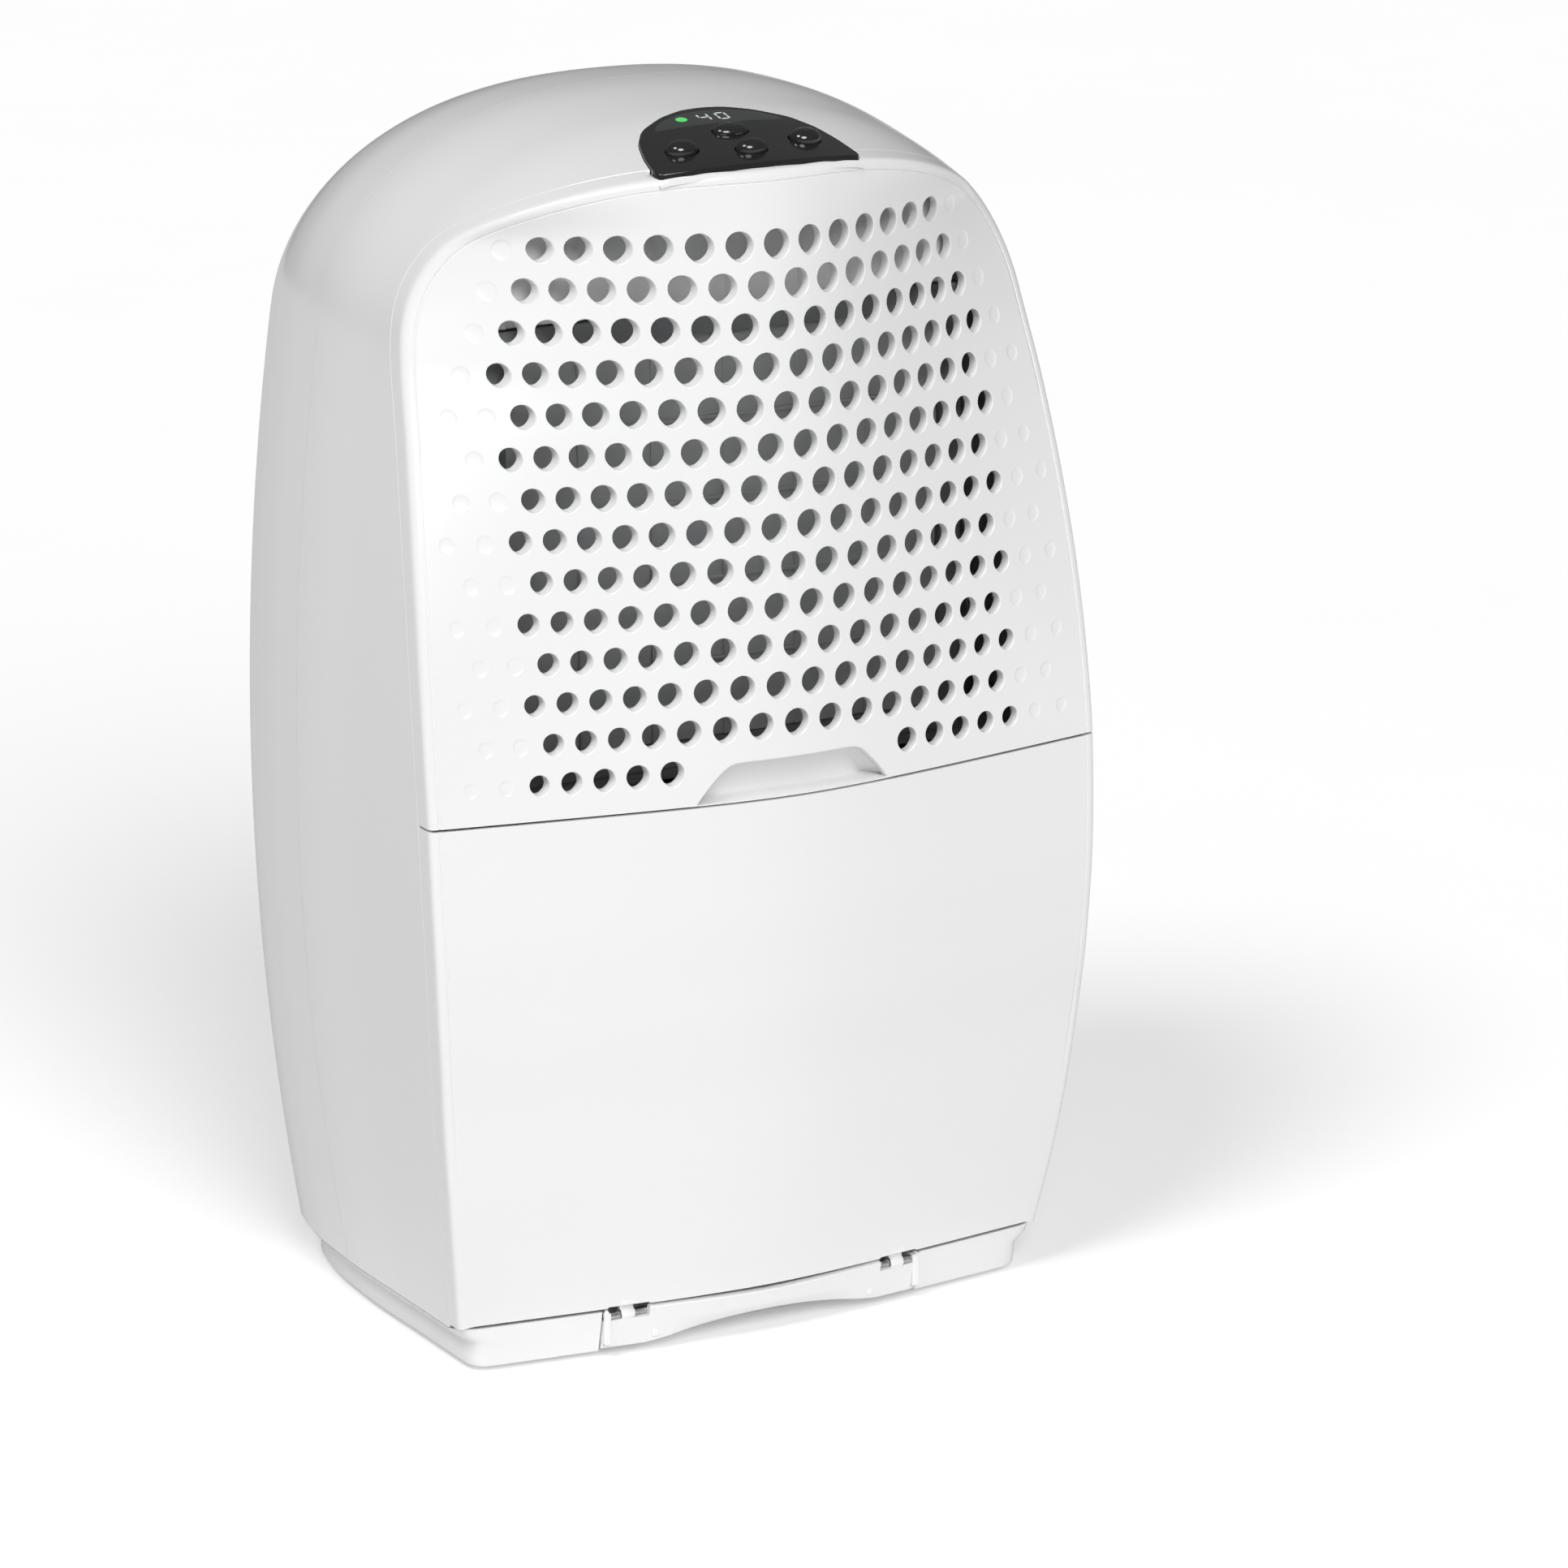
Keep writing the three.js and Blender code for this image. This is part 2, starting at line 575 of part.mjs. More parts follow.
// ---- refrigeration set --------------------------------------------------------------
function coil(y0, y1) {
  const fins = [];
  const count = 16;
  const pitch = (2 * COIL_HALF) / count;
  for (let i = 0; i <= count; i += 1) {
    const x = -COIL_HALF + pitch * i;
    fins.push([x - (i > 0 ? 1.2 : 0), y0], [x + (i < count ? 1.2 : 0), y0]);
    if (i < count) {
      fins.push([x + 1.2, y0 + 6], [x + pitch - 1.2, y0 + 6]);
    }
  }
  const outline = [...fins, [COIL_HALF, y1], [-COIL_HALF, y1]];
  const block = prism(outline, COIL_FOOT, COIL_TOP);
  const middle = (y0 + y1) / 2;
  const bends = [0, 1].map((i) => {
    const low = COIL_FOOT + 40 + i * 70;
    return pipe([
      [COIL_HALF - 3, middle, low],
      [COIL_HALF + 9, middle, low + 3],
      [COIL_HALF + 13, middle, low + 12.5],
      [COIL_HALF + 9, middle, low + 22],
      [COIL_HALF - 3, middle, low + 25],
    ], 3.5, 6);
  });
  return union([block, ...bends]);
}

function dripTray() {
  const outside = box(-106, 106, 82, 144, DECK + 4, COIL_FOOT - 1);
  const hollow = box(-104, 104, 84, 142, DECK + 6, COIL_FOOT + 5);
  const spout = rod('z', 8, DECK - 8, DECK + 5, 0, 96, 20);
  return outside.subtract(hollow).add(spout).subtract(rod('z', 6, DECK - 20, DECK + 9, 0, 96, 20));
}

const deck = body(WALL + 0.6, SKIRT - 5)
  .intersect(box(-200, 200, 60, DEPTH - 8, DECK, DECK + 3))
  .subtract(rod('z', 10, DECK - 5, DECK + 9, 0, 96, 24))
  .subtract(box(-133, -102, 95, 158, DECK - 5, DECK + 9));
const bayWall = box(-136, 136, BAY_WALL, BAY_WALL + 2.5, SKIRT + 3, DECK - 0.5);

function compressor() {
  const { x, y, radius, foot: low, height } = COMPRESSOR;
  const profile = [[0, 0], [radius * 0.8, 2], [radius, 20], [radius, height - 26],
    [radius * 0.9, height - 12], [radius * 0.6, height - 3], [0, height]];
  const points = profile.map(([r, h]) => new THREE.Vector2(r, h));
  const shellShape = new THREE.LatheGeometry(points, 28).rotateX(Math.PI / 2);
  const plate = box(x - 50, x + 50, y - 40, y + 40, low - 3, low + 1);
  return solid(shellShape.translate(x, y, low)).add(plate);
}

const mountSpots = [[-40, -30], [40, -30], [0, 32]];

function rubberMount([dx, dy]) {
  const { x, y, foot: low } = COMPRESSOR;
  return rod('z', 10, 3.3, low - 3.3, x + dx, y + dy, 20, 8);
}

const dischargePipe = pipe([
  [-76, 166, 199], [-80, 162, 208], [-98, 148, 219], [-112, 141, 240],
  [-114, 132, 268], [-112, 129, 292], [-101, 129, 300],
], 3.2, 6).subtract(box(-100.4, -90, 100, 160, 260, 330));
const suctionPipe = pipe([
  [-44, 196, 200], [-50, 192, 214], [-90, 172, 226], [-118, 152, 234],
  [-125, 138, 250], [-124, 112, 268], [-118, 99, 284], [-101, 99, 290],
], 4, 6).subtract(box(-100.4, -90, 80, 120, 260, 330));

function fan() {
  const hub = rod('y', 24, 156, 182, 0, FAN_Z, 24);
  const blades = [];
  const count = 7;
  for (let i = 0; i < count; i += 1) {
    const shape = new THREE.BoxGeometry(34, 2.2, FAN_RADIUS - 20, 2, 1, 2);
    const position = shape.attributes.position;
    for (let k = 0; k < position.count; k += 1) {
      const bow = (position.getX(k) / 17) ** 2 * 3;
      position.setY(k, position.getY(k) + bow);
    }
    shape.rotateZ(0.6).translate(0, 0, 20 + (FAN_RADIUS - 20) / 2);
    shape.rotateY((2 * Math.PI * i) / count).translate(0, 169, FAN_Z);
    blades.push(solid(shape));
  }
  return union([hub, ...blades]).subtract(rod('y', 4.3, 170, 190, 0, FAN_Z, 16));
}

const motor = rod('y', 34, 188, 218, 0, FAN_Z, 28)
  .add(rod('y', 12, 184, 190, 0, FAN_Z, 20))
  .add(rod('y', 4, 172, 186, 0, FAN_Z, 16));
const shroud = box(-128, 128, 147, 150, DECK + 3.5, 448)
  .intersect(body(WALL + 1, SKIRT - 5))
  .add(rod('y', FAN_RADIUS + 7, 147, 186, 0, FAN_Z, 32))
  .subtract(rod('y', FAN_RADIUS + 4, 140, 190, 0, FAN_Z, 32));
const armHalf = FAN_RADIUS + 16;
const bracket = union([
  box(-armHalf, armHalf, 218.4, 221.4, FAN_Z - 10, FAN_Z + 10),
  box(-armHalf, 3 - armHalf, 150.4, 221.4, FAN_Z - 10, FAN_Z + 10),
  box(armHalf - 3, armHalf, 150.4, 221.4, FAN_Z - 10, FAN_Z + 10),
]);
const capacitor = rod('z', 17, 3.4, 74, 86, 205, 24)
  .add(rod('z', 5, 73, 82, 86, 205, 12));
const relayBox = box(24, 112, 140, 172, 60, 130)
  .add(box(30, 106, 136, 141, 66, 124));
const filterFrame = box(-114, 114, 64, 70, DECK + 3.5, 448)
  .subtract(box(-104, 104, 60, 75, DECK + 14, 438));
const filterMesh = (() => {
  const bars = [];
  for (let x = -69; x <= 69; x += 34.5) {
    bars.push(box(x - 1, x + 1, 66, 68, DECK + 14.3, 437.7));
  }
  for (let z = DECK + 49; z < 430; z += 35.4) {
    bars.push(box(-103.7, 103.7, 66, 68, z - 1, z + 1));
  }
  return union(bars);
})();
const board = box(-38, 38, -18, 18, -0.8, 0.8)
  .rotate([(buttonTilt * 180) / Math.PI, 0, 0])
  .translate([0, 60, crownAt(60) - 14]);
const tankSwitch = box(92, 106, BAY_WALL - 4.6, BAY_WALL - 0.4, 226, 240);

// ---- group --------------------------------------------------------------------------
const FINISH = {
  white: { color: 0xf2f2f0, roughness: 0.28, metalness: 0 },
  black: { color: 0x151515, roughness: 0.2, metalness: 0 },
  clear: { color: 0xb8c4cc, roughness: 0.15, metalness: 0 },
  glass: { color: 0x26302e, roughness: 0.1, metalness: 0 },
  grey: { color: 0x6f7275, roughness: 0.5, metalness: 0 },
  steel: { color: 0xb9bcc0, roughness: 0.3, metalness: 1 },
  enamel: { color: 0x1d1f21, roughness: 0.4, metalness: 0.3 },
  copper: { color: 0xb87348, roughness: 0.35, metalness: 1 },
  fins: { color: 0xc9ccd0, roughness: 0.4, metalness: 1 },
  rubber: { color: 0x242424, roughness: 0.8, metalness: 0 },
  board: { color: 0x1f5a3a, roughness: 0.5, metalness: 0 },
};

const group = new THREE.Group();

function add(name, shape, finish) {
  const mesh = shape.getMesh();
  const geometry = new THREE.BufferGeometry();
  geometry.setAttribute('position', new THREE.BufferAttribute(mesh.vertProperties, 3));
  geometry.setIndex(new THREE.BufferAttribute(mesh.triVerts, 1));
  geometry.translate(0, -DEPTH / 2, FOOT);
  geometry.computeVertexNormals();
  const part = new THREE.Mesh(geometry, new THREE.MeshStandardMaterial(FINISH[finish]));
  part.name = name;
  group.add(part);
}

add('base_tray', base, 'white');
add('toe_bar', toe, 'white');
add('front_housing', frontHousing, 'white');
add('rear_cover', rearCover, 'white');
add('front_grille', grille, 'white');
add('tank_door', door, 'white');
add('grip_cup', gripCup, 'white');
add('hinge_pin_left', hingePin(-1), 'steel');
add('hinge_pin_right', hingePin(1), 'steel');
add('control_fascia', fascia, 'black');
add('display_window', displayGlass, 'glass');
BUTTONS.forEach((button) => add(button.name, ellipseAt(button, 0, 3, 1.6, 2.6), 'black'));
add('control_board', board, 'board');
add('water_tank', tank, 'clear');
add('tank_lid', lid, 'clear');
add('tank_float', float, 'grey');
add('tank_switch', tankSwitch, 'black');
add('bay_wall', bayWall, 'grey');
add('middle_deck', deck, 'grey');
add('drip_tray', dripTray(), 'grey');
add('filter_frame', filterFrame, 'grey');
add('filter_mesh', filterMesh, 'black');
add('evaporator', coil(88, 110), 'fins');
add('condenser', coil(118, 140), 'fins');
add('fan_shroud', shroud, 'grey');
add('fan_impeller', fan(), 'grey');
add('fan_motor', motor, 'steel');
add('motor_bracket', bracket, 'steel');
add('compressor', compressor(), 'enamel');
mountSpots.forEach((spot, i) => add(`compressor_mount_${i + 1}`, rubberMount(spot), 'rubber'));
add('discharge_pipe', dischargePipe, 'copper');
add('suction_pipe', suctionPipe, 'copper');
add('capacitor', capacitor, 'steel');
add('relay_box', relayBox, 'grey');
add('outlet_grille', outletGrille(), 'white');
add('hand_cup', handCup(), 'white');
add('cable_gland', gland(), 'black');
screwSpots.forEach((spot, i) => add(`cover_screw_${i + 1}`, screw(spot), 'steel'));
footSpots.forEach((spot, i) => add(`foot_${i + 1}`, foot(spot), 'rubber'));

export default group;
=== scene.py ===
# %% [markdown]
# # A domed dehumidifier, modelled as a set of mouldings
# The cabinet is a barrel with an arched top. Two front panels close it: a perforated
# grille above and the door of the water tank below. A black control panel lies in the
# crown. This lesson lays new, smooth mouldings over a fixed mechanical frame, one piece
# at a time, and gives every piece its own finish.

# %% Load the frame
import json
import math

import bpy
import numpy as np
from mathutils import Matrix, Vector


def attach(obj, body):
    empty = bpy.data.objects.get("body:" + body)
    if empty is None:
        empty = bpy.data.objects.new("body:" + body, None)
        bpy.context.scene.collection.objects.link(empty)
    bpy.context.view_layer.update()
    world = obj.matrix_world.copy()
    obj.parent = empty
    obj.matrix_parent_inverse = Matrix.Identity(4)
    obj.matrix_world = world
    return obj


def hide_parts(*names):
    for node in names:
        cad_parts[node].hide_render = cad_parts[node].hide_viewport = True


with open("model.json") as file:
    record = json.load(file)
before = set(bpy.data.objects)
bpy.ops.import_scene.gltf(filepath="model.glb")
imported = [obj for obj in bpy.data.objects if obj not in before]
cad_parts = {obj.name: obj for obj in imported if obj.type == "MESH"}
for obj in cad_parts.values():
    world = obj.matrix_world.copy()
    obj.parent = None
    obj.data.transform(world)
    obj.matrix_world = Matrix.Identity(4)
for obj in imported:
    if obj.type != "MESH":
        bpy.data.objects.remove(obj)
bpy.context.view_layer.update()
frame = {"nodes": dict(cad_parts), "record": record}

# %% [markdown]
# ## Working by hand, in code
# Every step below starts with nothing selected, because an operator acts on all that is
# selected. A few small helpers keep the steps short: they pick a piece, apply a modifier,
# move every vertex to where a rule says, join pieces, cut one with another, and so on.

# %% Small helpers
def only(piece):
    """Select one piece and make it active."""
    bpy.ops.object.select_all(action="DESELECT")
    piece.select_set(True)
    bpy.context.view_layer.objects.active = piece
    return piece


def apply_modifier(piece, kind, **settings):
    """Add one modifier to a piece and apply it at once."""
    only(piece)
    modifier = piece.modifiers.new(kind.lower(), kind)
    for key, value in settings.items():
        setattr(modifier, key, value)
    bpy.ops.object.modifier_apply(modifier=modifier.name)
    return piece


def places(piece):
    """The vertices of a piece as rows of x, y, z."""
    flat = np.empty(len(piece.data.vertices) * 3)
    piece.data.vertices.foreach_get("co", flat)
    return flat.reshape(-1, 3)


def settle(piece, spots):
    """Put the vertices of a piece at the given spots."""
    piece.data.vertices.foreach_set("co", np.asarray(spots, float).ravel())
    piece.data.update()
    return piece


def in_edit(piece, *steps):
    """Run edit-mode steps on the whole piece."""
    only(piece)
    bpy.ops.object.mode_set(mode="EDIT")
    bpy.ops.mesh.select_all(action="SELECT")
    for step in steps:
        step()
    bpy.ops.object.mode_set(mode="OBJECT")
    return piece


def named(name):
    """The new primitive, under its own name."""
    piece = bpy.context.active_object
    piece.name = name
    piece.data.name = name
    return piece


def join(name, pieces):
    """Several closed bodies as one piece."""
    only(pieces[0])
    for piece in pieces:
        piece.select_set(True)
    if len(pieces) > 1:
        bpy.ops.object.join()
    return named(name)


def smooth(piece, degrees=35):
    """Smooth shading that keeps edges sharper than the given angle."""
    only(piece)
    bpy.ops.object.shade_smooth_by_angle(angle=math.radians(degrees))
    return piece


def cut(piece, cutter, itself=False):
    """Cut one closed piece with another and clear the cutter away."""
    apply_modifier(piece, "BOOLEAN", operation="DIFFERENCE", object=cutter, solver="EXACT",
                   use_self=itself)
    bpy.data.objects.remove(cutter)
    return piece


def block(name, low, high):
    """A box between two corners, given in cabinet millimetres."""
    low, high = to_scene(np.array([low, high], float))
    bpy.ops.object.select_all(action="DESELECT")
    bpy.ops.mesh.primitive_cube_add(size=1, location=tuple((low + high) / 2))
    piece = named(name)
    piece.scale = tuple(high - low)
    bpy.ops.object.transform_apply(location=True, rotation=True, scale=True)
    return piece


# %% [markdown]
# ## The shape of the cabinet
# The cabinet is described once, in millimetres, and every moulding reads it. Three
# things fix the whole body: the outline seen from the front, how the sides and the
# crown swell from front to rear, and how far the front stands back at each height.
# Smooth curves run through a few stations, as a boat builder's battens would.

# %% Cabinet dimensions
DEPTH = 240.0
FOOT = 3.0
WIDEST_AT = 240.0
HALF_WIDTH = 161.0
BARREL = 0.00038
ARCH_BASE, ARCH_HALF, ARCH_RISE, ARCH_POWER = 415.0, 148.8, 106.0, 2.3
SKIRT = 18.0
SEAM = 250.0
RETURN = 10.0
SPLIT = 145.0
DEPTHS = [-20, 40, 92, 145, 167, 190, 207, 220, 231, 240]
SWELLS = [-3.5, 0, 3, 6, 5.8, 4, 0.5, -5, -14, -30]
CROWNS = [500, 518, 530, 535, 534.5, 531, 524, 513, 497, 469]
HEIGHTS = [0, 20, 50, 85, 120, 160, 205, 250, 285, 325, 365, 405, 440, 484, 505, 535]
SETBACKS = [31, 25.5, 17.5, 11, 6.5, 2, 0, 0, 0.5, 2, 4.5, 8, 12, 18, 22, 28]
WRAPS = [6, 6.5, 7, 7.2, 7.4, 7.7, 8.1, 9, 10.6, 12.9, 16, 19.8, 24, 27.5, 20, 12]
WRAP_WIDTH = 45.0


def batten(stations, values, at):
    """A smooth curve through the stations, without overshoot."""
    x = np.asarray(stations, float)
    y = np.asarray(values, float)
    step = np.diff(x)
    slope = np.diff(y) / step
    tangent = np.empty_like(y)
    tangent[0], tangent[-1] = slope[0], slope[-1]
    for i in range(1, len(x) - 1):
        if slope[i - 1] * slope[i] <= 0:
            tangent[i] = 0
        else:
            tangent[i] = 2 * slope[i - 1] * slope[i] / (slope[i - 1] + slope[i])
    at = np.clip(np.asarray(at, float), x[0], x[-1])
    i = np.clip(np.searchsorted(x, at) - 1, 0, len(step) - 1)
    t = (at - x[i]) / step[i]
    start = (1 + 2 * t) * (1 - t) ** 2 * y[i] + t * (1 - t) ** 2 * step[i] * tangent[i]
    end = t * t * (3 - 2 * t) * y[i + 1] + t * t * (t - 1) * step[i] * tangent[i + 1]
    return start + end


def front_depth(x, z):
    """How far behind the foremost point the front surface lies."""
    nose = np.sqrt(1 + (np.asarray(x, float) / WRAP_WIDTH) ** 2) - 1
    return batten(HEIGHTS, SETBACKS, z) + batten(HEIGHTS, WRAPS, z) * nose


def to_scene(spots):
    """Cabinet millimetres to metres, with the origin under the middle of the cabinet."""
    return (np.asarray(spots, float) + [0, -DEPTH / 2, FOOT]) / 1000


# %% [markdown]
# ## The outline as one even line
# Walking round the outline at an even pace keeps the faces of the side walls the same
# size. The straight flanks and the arch are sampled, lightly smoothed where they meet,
# and measured, so that any share of the way round can be asked for.

# %% The front outline
def raw_outline():
    flank = np.linspace(SKIRT, ARCH_BASE + 22, 60)
    sides = np.stack([HALF_WIDTH - BARREL * (flank - WIDEST_AT) ** 2, flank], 1)
    turn = np.radians(np.linspace(14, 90, 60))
    across = ARCH_HALF * np.cos(turn) ** (2 / ARCH_POWER)
    rise = ARCH_BASE + ARCH_RISE * np.sin(turn) ** (2 / ARCH_POWER)
    half = np.concatenate([sides, np.stack([across, rise], 1)])
    half[-1, 0] = 0
    return np.concatenate([half * [-1, 1], half[-2::-1]])


outline = raw_outline()
walk = np.concatenate([[0], np.cumsum(np.hypot(*np.diff(outline, axis=0).T))])
OUTLINE_STEPS = 600
pace = np.linspace(0, walk[-1], OUTLINE_STEPS + 1)
outline = np.stack([np.interp(pace, walk, outline[:, k]) for k in (0, 1)], 1)
for _ in range(30):
    outline[1:-1] = (outline[:-2] + 2 * outline[1:-1] + outline[2:]) / 4
print("outline:", round(float(walk[-1])), "mm round, crown at",
      round(float(outline[:, 1].max()), 1))


def on_outline(share):
    """A point of the front outline, 0 at the lower left and 1 at the lower right."""
    at = np.asarray(share, float) * OUTLINE_STEPS
    steps = np.arange(OUTLINE_STEPS + 1)
    return np.stack([np.interp(at, steps, outline[:, k]) for k in (0, 1)], -1)


def share_at(height):
    """The share of the way round where the left flank reaches a height."""
    left = outline[:250, 1]
    return float(np.interp(height, left, np.arange(250))) / OUTLINE_STEPS


def cabinet(share, depth):
    """A point of the cabinet's skin, by its share round the outline and its depth."""
    x, z = on_outline(share).T
    wide = 1 + batten(DEPTHS, SWELLS, depth) / HALF_WIDTH
    crown = ARCH_BASE + ARCH_RISE
    tall = (batten(DEPTHS, CROWNS, depth) - WIDEST_AT) / (crown - WIDEST_AT)
    ease = np.clip((z - WIDEST_AT) / 60, 0, 1) ** 2 * (3 - 2 * np.clip((z - WIDEST_AT) / 60, 0, 1))
    lifted = z + (z - WIDEST_AT) * (tall - 1) * ease
    return np.stack([x * wide, np.broadcast_to(depth, x.shape), lifted], -1)


def edge_depth(share):
    """Where the skin meets the front surface."""
    depth = np.full(np.shape(share), 40.0)
    for _ in range(25):
        spot = cabinet(share, depth)
        depth = 0.5 * depth + 0.5 * front_depth(spot[..., 0], spot[..., 2])
    return depth


def inward(share):
    """Direction in the front view that points from the outline to the inside."""
    ahead = on_outline(np.clip(share + 0.004, 0, 1))
    behind = on_outline(np.clip(share - 0.004, 0, 1))
    run = ahead - behind
    length = np.hypot(run[..., 0], run[..., 1])
    return np.stack([run[..., 1] / length, -run[..., 0] / length], -1)


# %% [markdown]
# ## A sheet laid by a rule
# A moulded skin starts as a flat grid. The rule says where each crossing of the grid
# lies on the cabinet, and the sheet is then given its wall by a Solidify modifier. The
# sheet must face outwards first, so its normals are compared with a known direction.

# %% Sheets
def sheet(name, across, along, rule, wall=2.4, outward=None, even=True):
    bpy.ops.object.select_all(action="DESELECT")
    bpy.ops.mesh.primitive_grid_add(x_subdivisions=across, y_subdivisions=along, size=2)
    piece = named(name)
    spots = places(piece)
    u = (spots[:, 0] + 1) / 2
    v = (spots[:, 1] + 1) / 2
    settle(piece, to_scene(rule(u, v)))
    if outward is not None:
        facing = sum(p.normal.dot(Vector(outward(p.center))) * p.area
                     for p in piece.data.polygons)
        if facing < 0:
            in_edit(piece, bpy.ops.mesh.flip_normals)
    if wall:
        apply_modifier(piece, "SOLIDIFY", thickness=wall / 1000, offset=-1, use_even_offset=even)
    return piece


def from_axis(centre):
    """Outward for the cabinet's sides: away from its middle axis."""
    return (centre.x, 0, centre.z - 0.25)


def to_front(_):
    return (0, -1, 0)

# %% [markdown]
# ## Camera, floor and light
# The camera looks a little down on the front left corner through a long lens, so
# upright edges stay nearly parallel. The floor and the surroundings are pale, as in a
# studio sweep. One broad light in front gives the front panels their brightness, and one
# from the left fills the side and the crown and throws the shadow on the floor.

# %% Camera
def add_camera():
    data = bpy.data.cameras.new("studio camera")
    data.lens = 143.55
    data.sensor_width = 36
    data.shift_x = -0.00884
    data.clip_end = 50
    camera = bpy.data.objects.new("studio camera", data)
    bpy.context.scene.collection.objects.link(camera)
    back = Vector((-0.4525, -0.8457, 0.2830)).normalized()
    camera.location = Vector((0, -0.120, 0.2579)) + 2.6422 * back
    camera.rotation_euler = back.to_track_quat("Z", "Y").to_euler()
    bpy.context.scene.camera = camera
    return camera


print("camera at", [round(v, 3) for v in add_camera().location])

# %% Light
def add_sun(name, toward, strength, softness):
    """A broad, even light that comes from one direction, with soft shadows."""
    data = bpy.data.lights.new(name, "SUN")
    data.energy = strength
    data.angle = math.radians(softness)
    lamp = bpy.data.objects.new(name, data)
    bpy.context.scene.collection.objects.link(lamp)
    lamp.location = 3 * Vector(toward)
    lamp.rotation_euler = Vector(toward).to_track_quat("Z", "Y").to_euler()
    return lamp


add_sun("front light", (-0.163, -0.803, 0.574), 1.97, 29)
add_sun("left light", (-0.536, -0.273, 0.799), 1.16, 20)


def pale_world(seen, lit):
    """White surroundings: one strength for what is seen, another for what lights."""
    world = bpy.data.worlds.new("pale studio")
    bpy.context.scene.world = world
    world.use_nodes = True
    nodes, links = world.node_tree.nodes, world.node_tree.links
    lighting = nodes["Background"]
    lighting.inputs["Color"].default_value = (1, 1, 1, 1)
    lighting.inputs["Strength"].default_value = lit
    backdrop = nodes.new("ShaderNodeBackground")
    backdrop.inputs["Color"].default_value = (1, 1, 1, 1)
    backdrop.inputs["Strength"].default_value = seen
    path = nodes.new("ShaderNodeLightPath")
    choose = nodes.new("ShaderNodeMixShader")
    links.new(path.outputs["Is Camera Ray"], choose.inputs[0])
    links.new(lighting.outputs[0], choose.inputs[1])
    links.new(backdrop.outputs[0], choose.inputs[2])
    links.new(choose.outputs[0], nodes["World Output"].inputs["Surface"])


pale_world(1.0, 0.115)
bpy.context.scene.view_settings.view_transform = "Standard"

# %% [markdown]
# ## Finishes
# Injection-moulded plastic is never one flat colour. Its gloss changes a little where
# the tool was polished, its surface undulates faintly over the ribs behind it, and edges
# pick up a slightly different tone. Each finish below is a short chain of nodes on
# Object coordinates: a broad noise for tone, a finer one for gloss, and a bump.

# %% A chain of nodes for every finish
def finish_of(name, colour, rough, second=None, spread=0.04, broad=9.0, grain=900.0,
              bump=0.05, stretch=(1, 1, 1), worn=0.25, **sockets):
    """A finish whose tone, gloss and relief all vary over the piece."""
    made = bpy.data.materials.new(name)
    made.use_nodes = True
    nodes, links = made.node_tree.nodes, made.node_tree.links
    shader = nodes["Principled BSDF"]
    place = nodes.new("ShaderNodeTexCoord")
    turn = nodes.new("ShaderNodeMapping")
    turn.inputs["Scale"].default_value = stretch
    links.new(place.outputs["Object"], turn.inputs["Vector"])

    def noise(scale, detail):
        node = nodes.new("ShaderNodeTexNoise")
        node.inputs["Scale"].default_value = scale
        node.inputs["Detail"].default_value = detail
        links.new(turn.outputs["Vector"], node.inputs["Vector"])
        return node.outputs["Fac"]

    def ramp(source, low, high, at=(0.35, 0.65)):
        node = nodes.new("ShaderNodeValToRGB")
        node.color_ramp.elements[0].color = (*low, 1)
        node.color_ramp.elements[1].color = (*high, 1)
        node.color_ramp.elements[0].position, node.color_ramp.elements[1].position = at
        links.new(source, node.inputs["Fac"])
        return node.outputs["Color"]

    cloudy = noise(broad, 4)
    fine = noise(grain, 2)
    second = second or [c * 0.96 for c in colour]
    tone = ramp(cloudy, colour, second)
    if worn:
        edge = nodes.new("ShaderNodeNewGeometry")
        rub = ramp(edge.outputs["Pointiness"], [0] * 3, [worn] * 3, (0.52, 0.62))
        mix = nodes.new("ShaderNodeMix")
        mix.data_type = "RGBA"
        links.new(rub, mix.inputs["Factor"])
        links.new(tone, mix.inputs["A"])
        mix.inputs["B"].default_value = (*[min(1, c * 1.15 + 0.02) for c in colour], 1)
        tone = mix.outputs["Result"]
    links.new(tone, shader.inputs["Base Color"])
    gloss = ramp(noise(broad * 6, 5), [max(0.02, rough - spread)] * 3, [rough + spread] * 3)
    links.new(gloss, shader.inputs["Roughness"])
    relief = nodes.new("ShaderNodeBump")
    relief.inputs["Strength"].default_value = bump
    relief.inputs["Distance"].default_value = 0.0002
    links.new(fine, relief.inputs["Height"])
    links.new(relief.outputs["Normal"], shader.inputs["Normal"])
    for key, value in sockets.items():
        shader.inputs[key.replace("_", " ")].default_value = value
    return made


white = finish_of("gloss white plastic", (0.87, 0.87, 0.872), 0.24, (0.86, 0.861, 0.863),
                  bump=0.015, broad=5, spread=0.02, worn=0, Coat_Weight=0.35, Coat_Roughness=0.12)
print("first finish:", white.name, len(white.node_tree.nodes), "nodes")

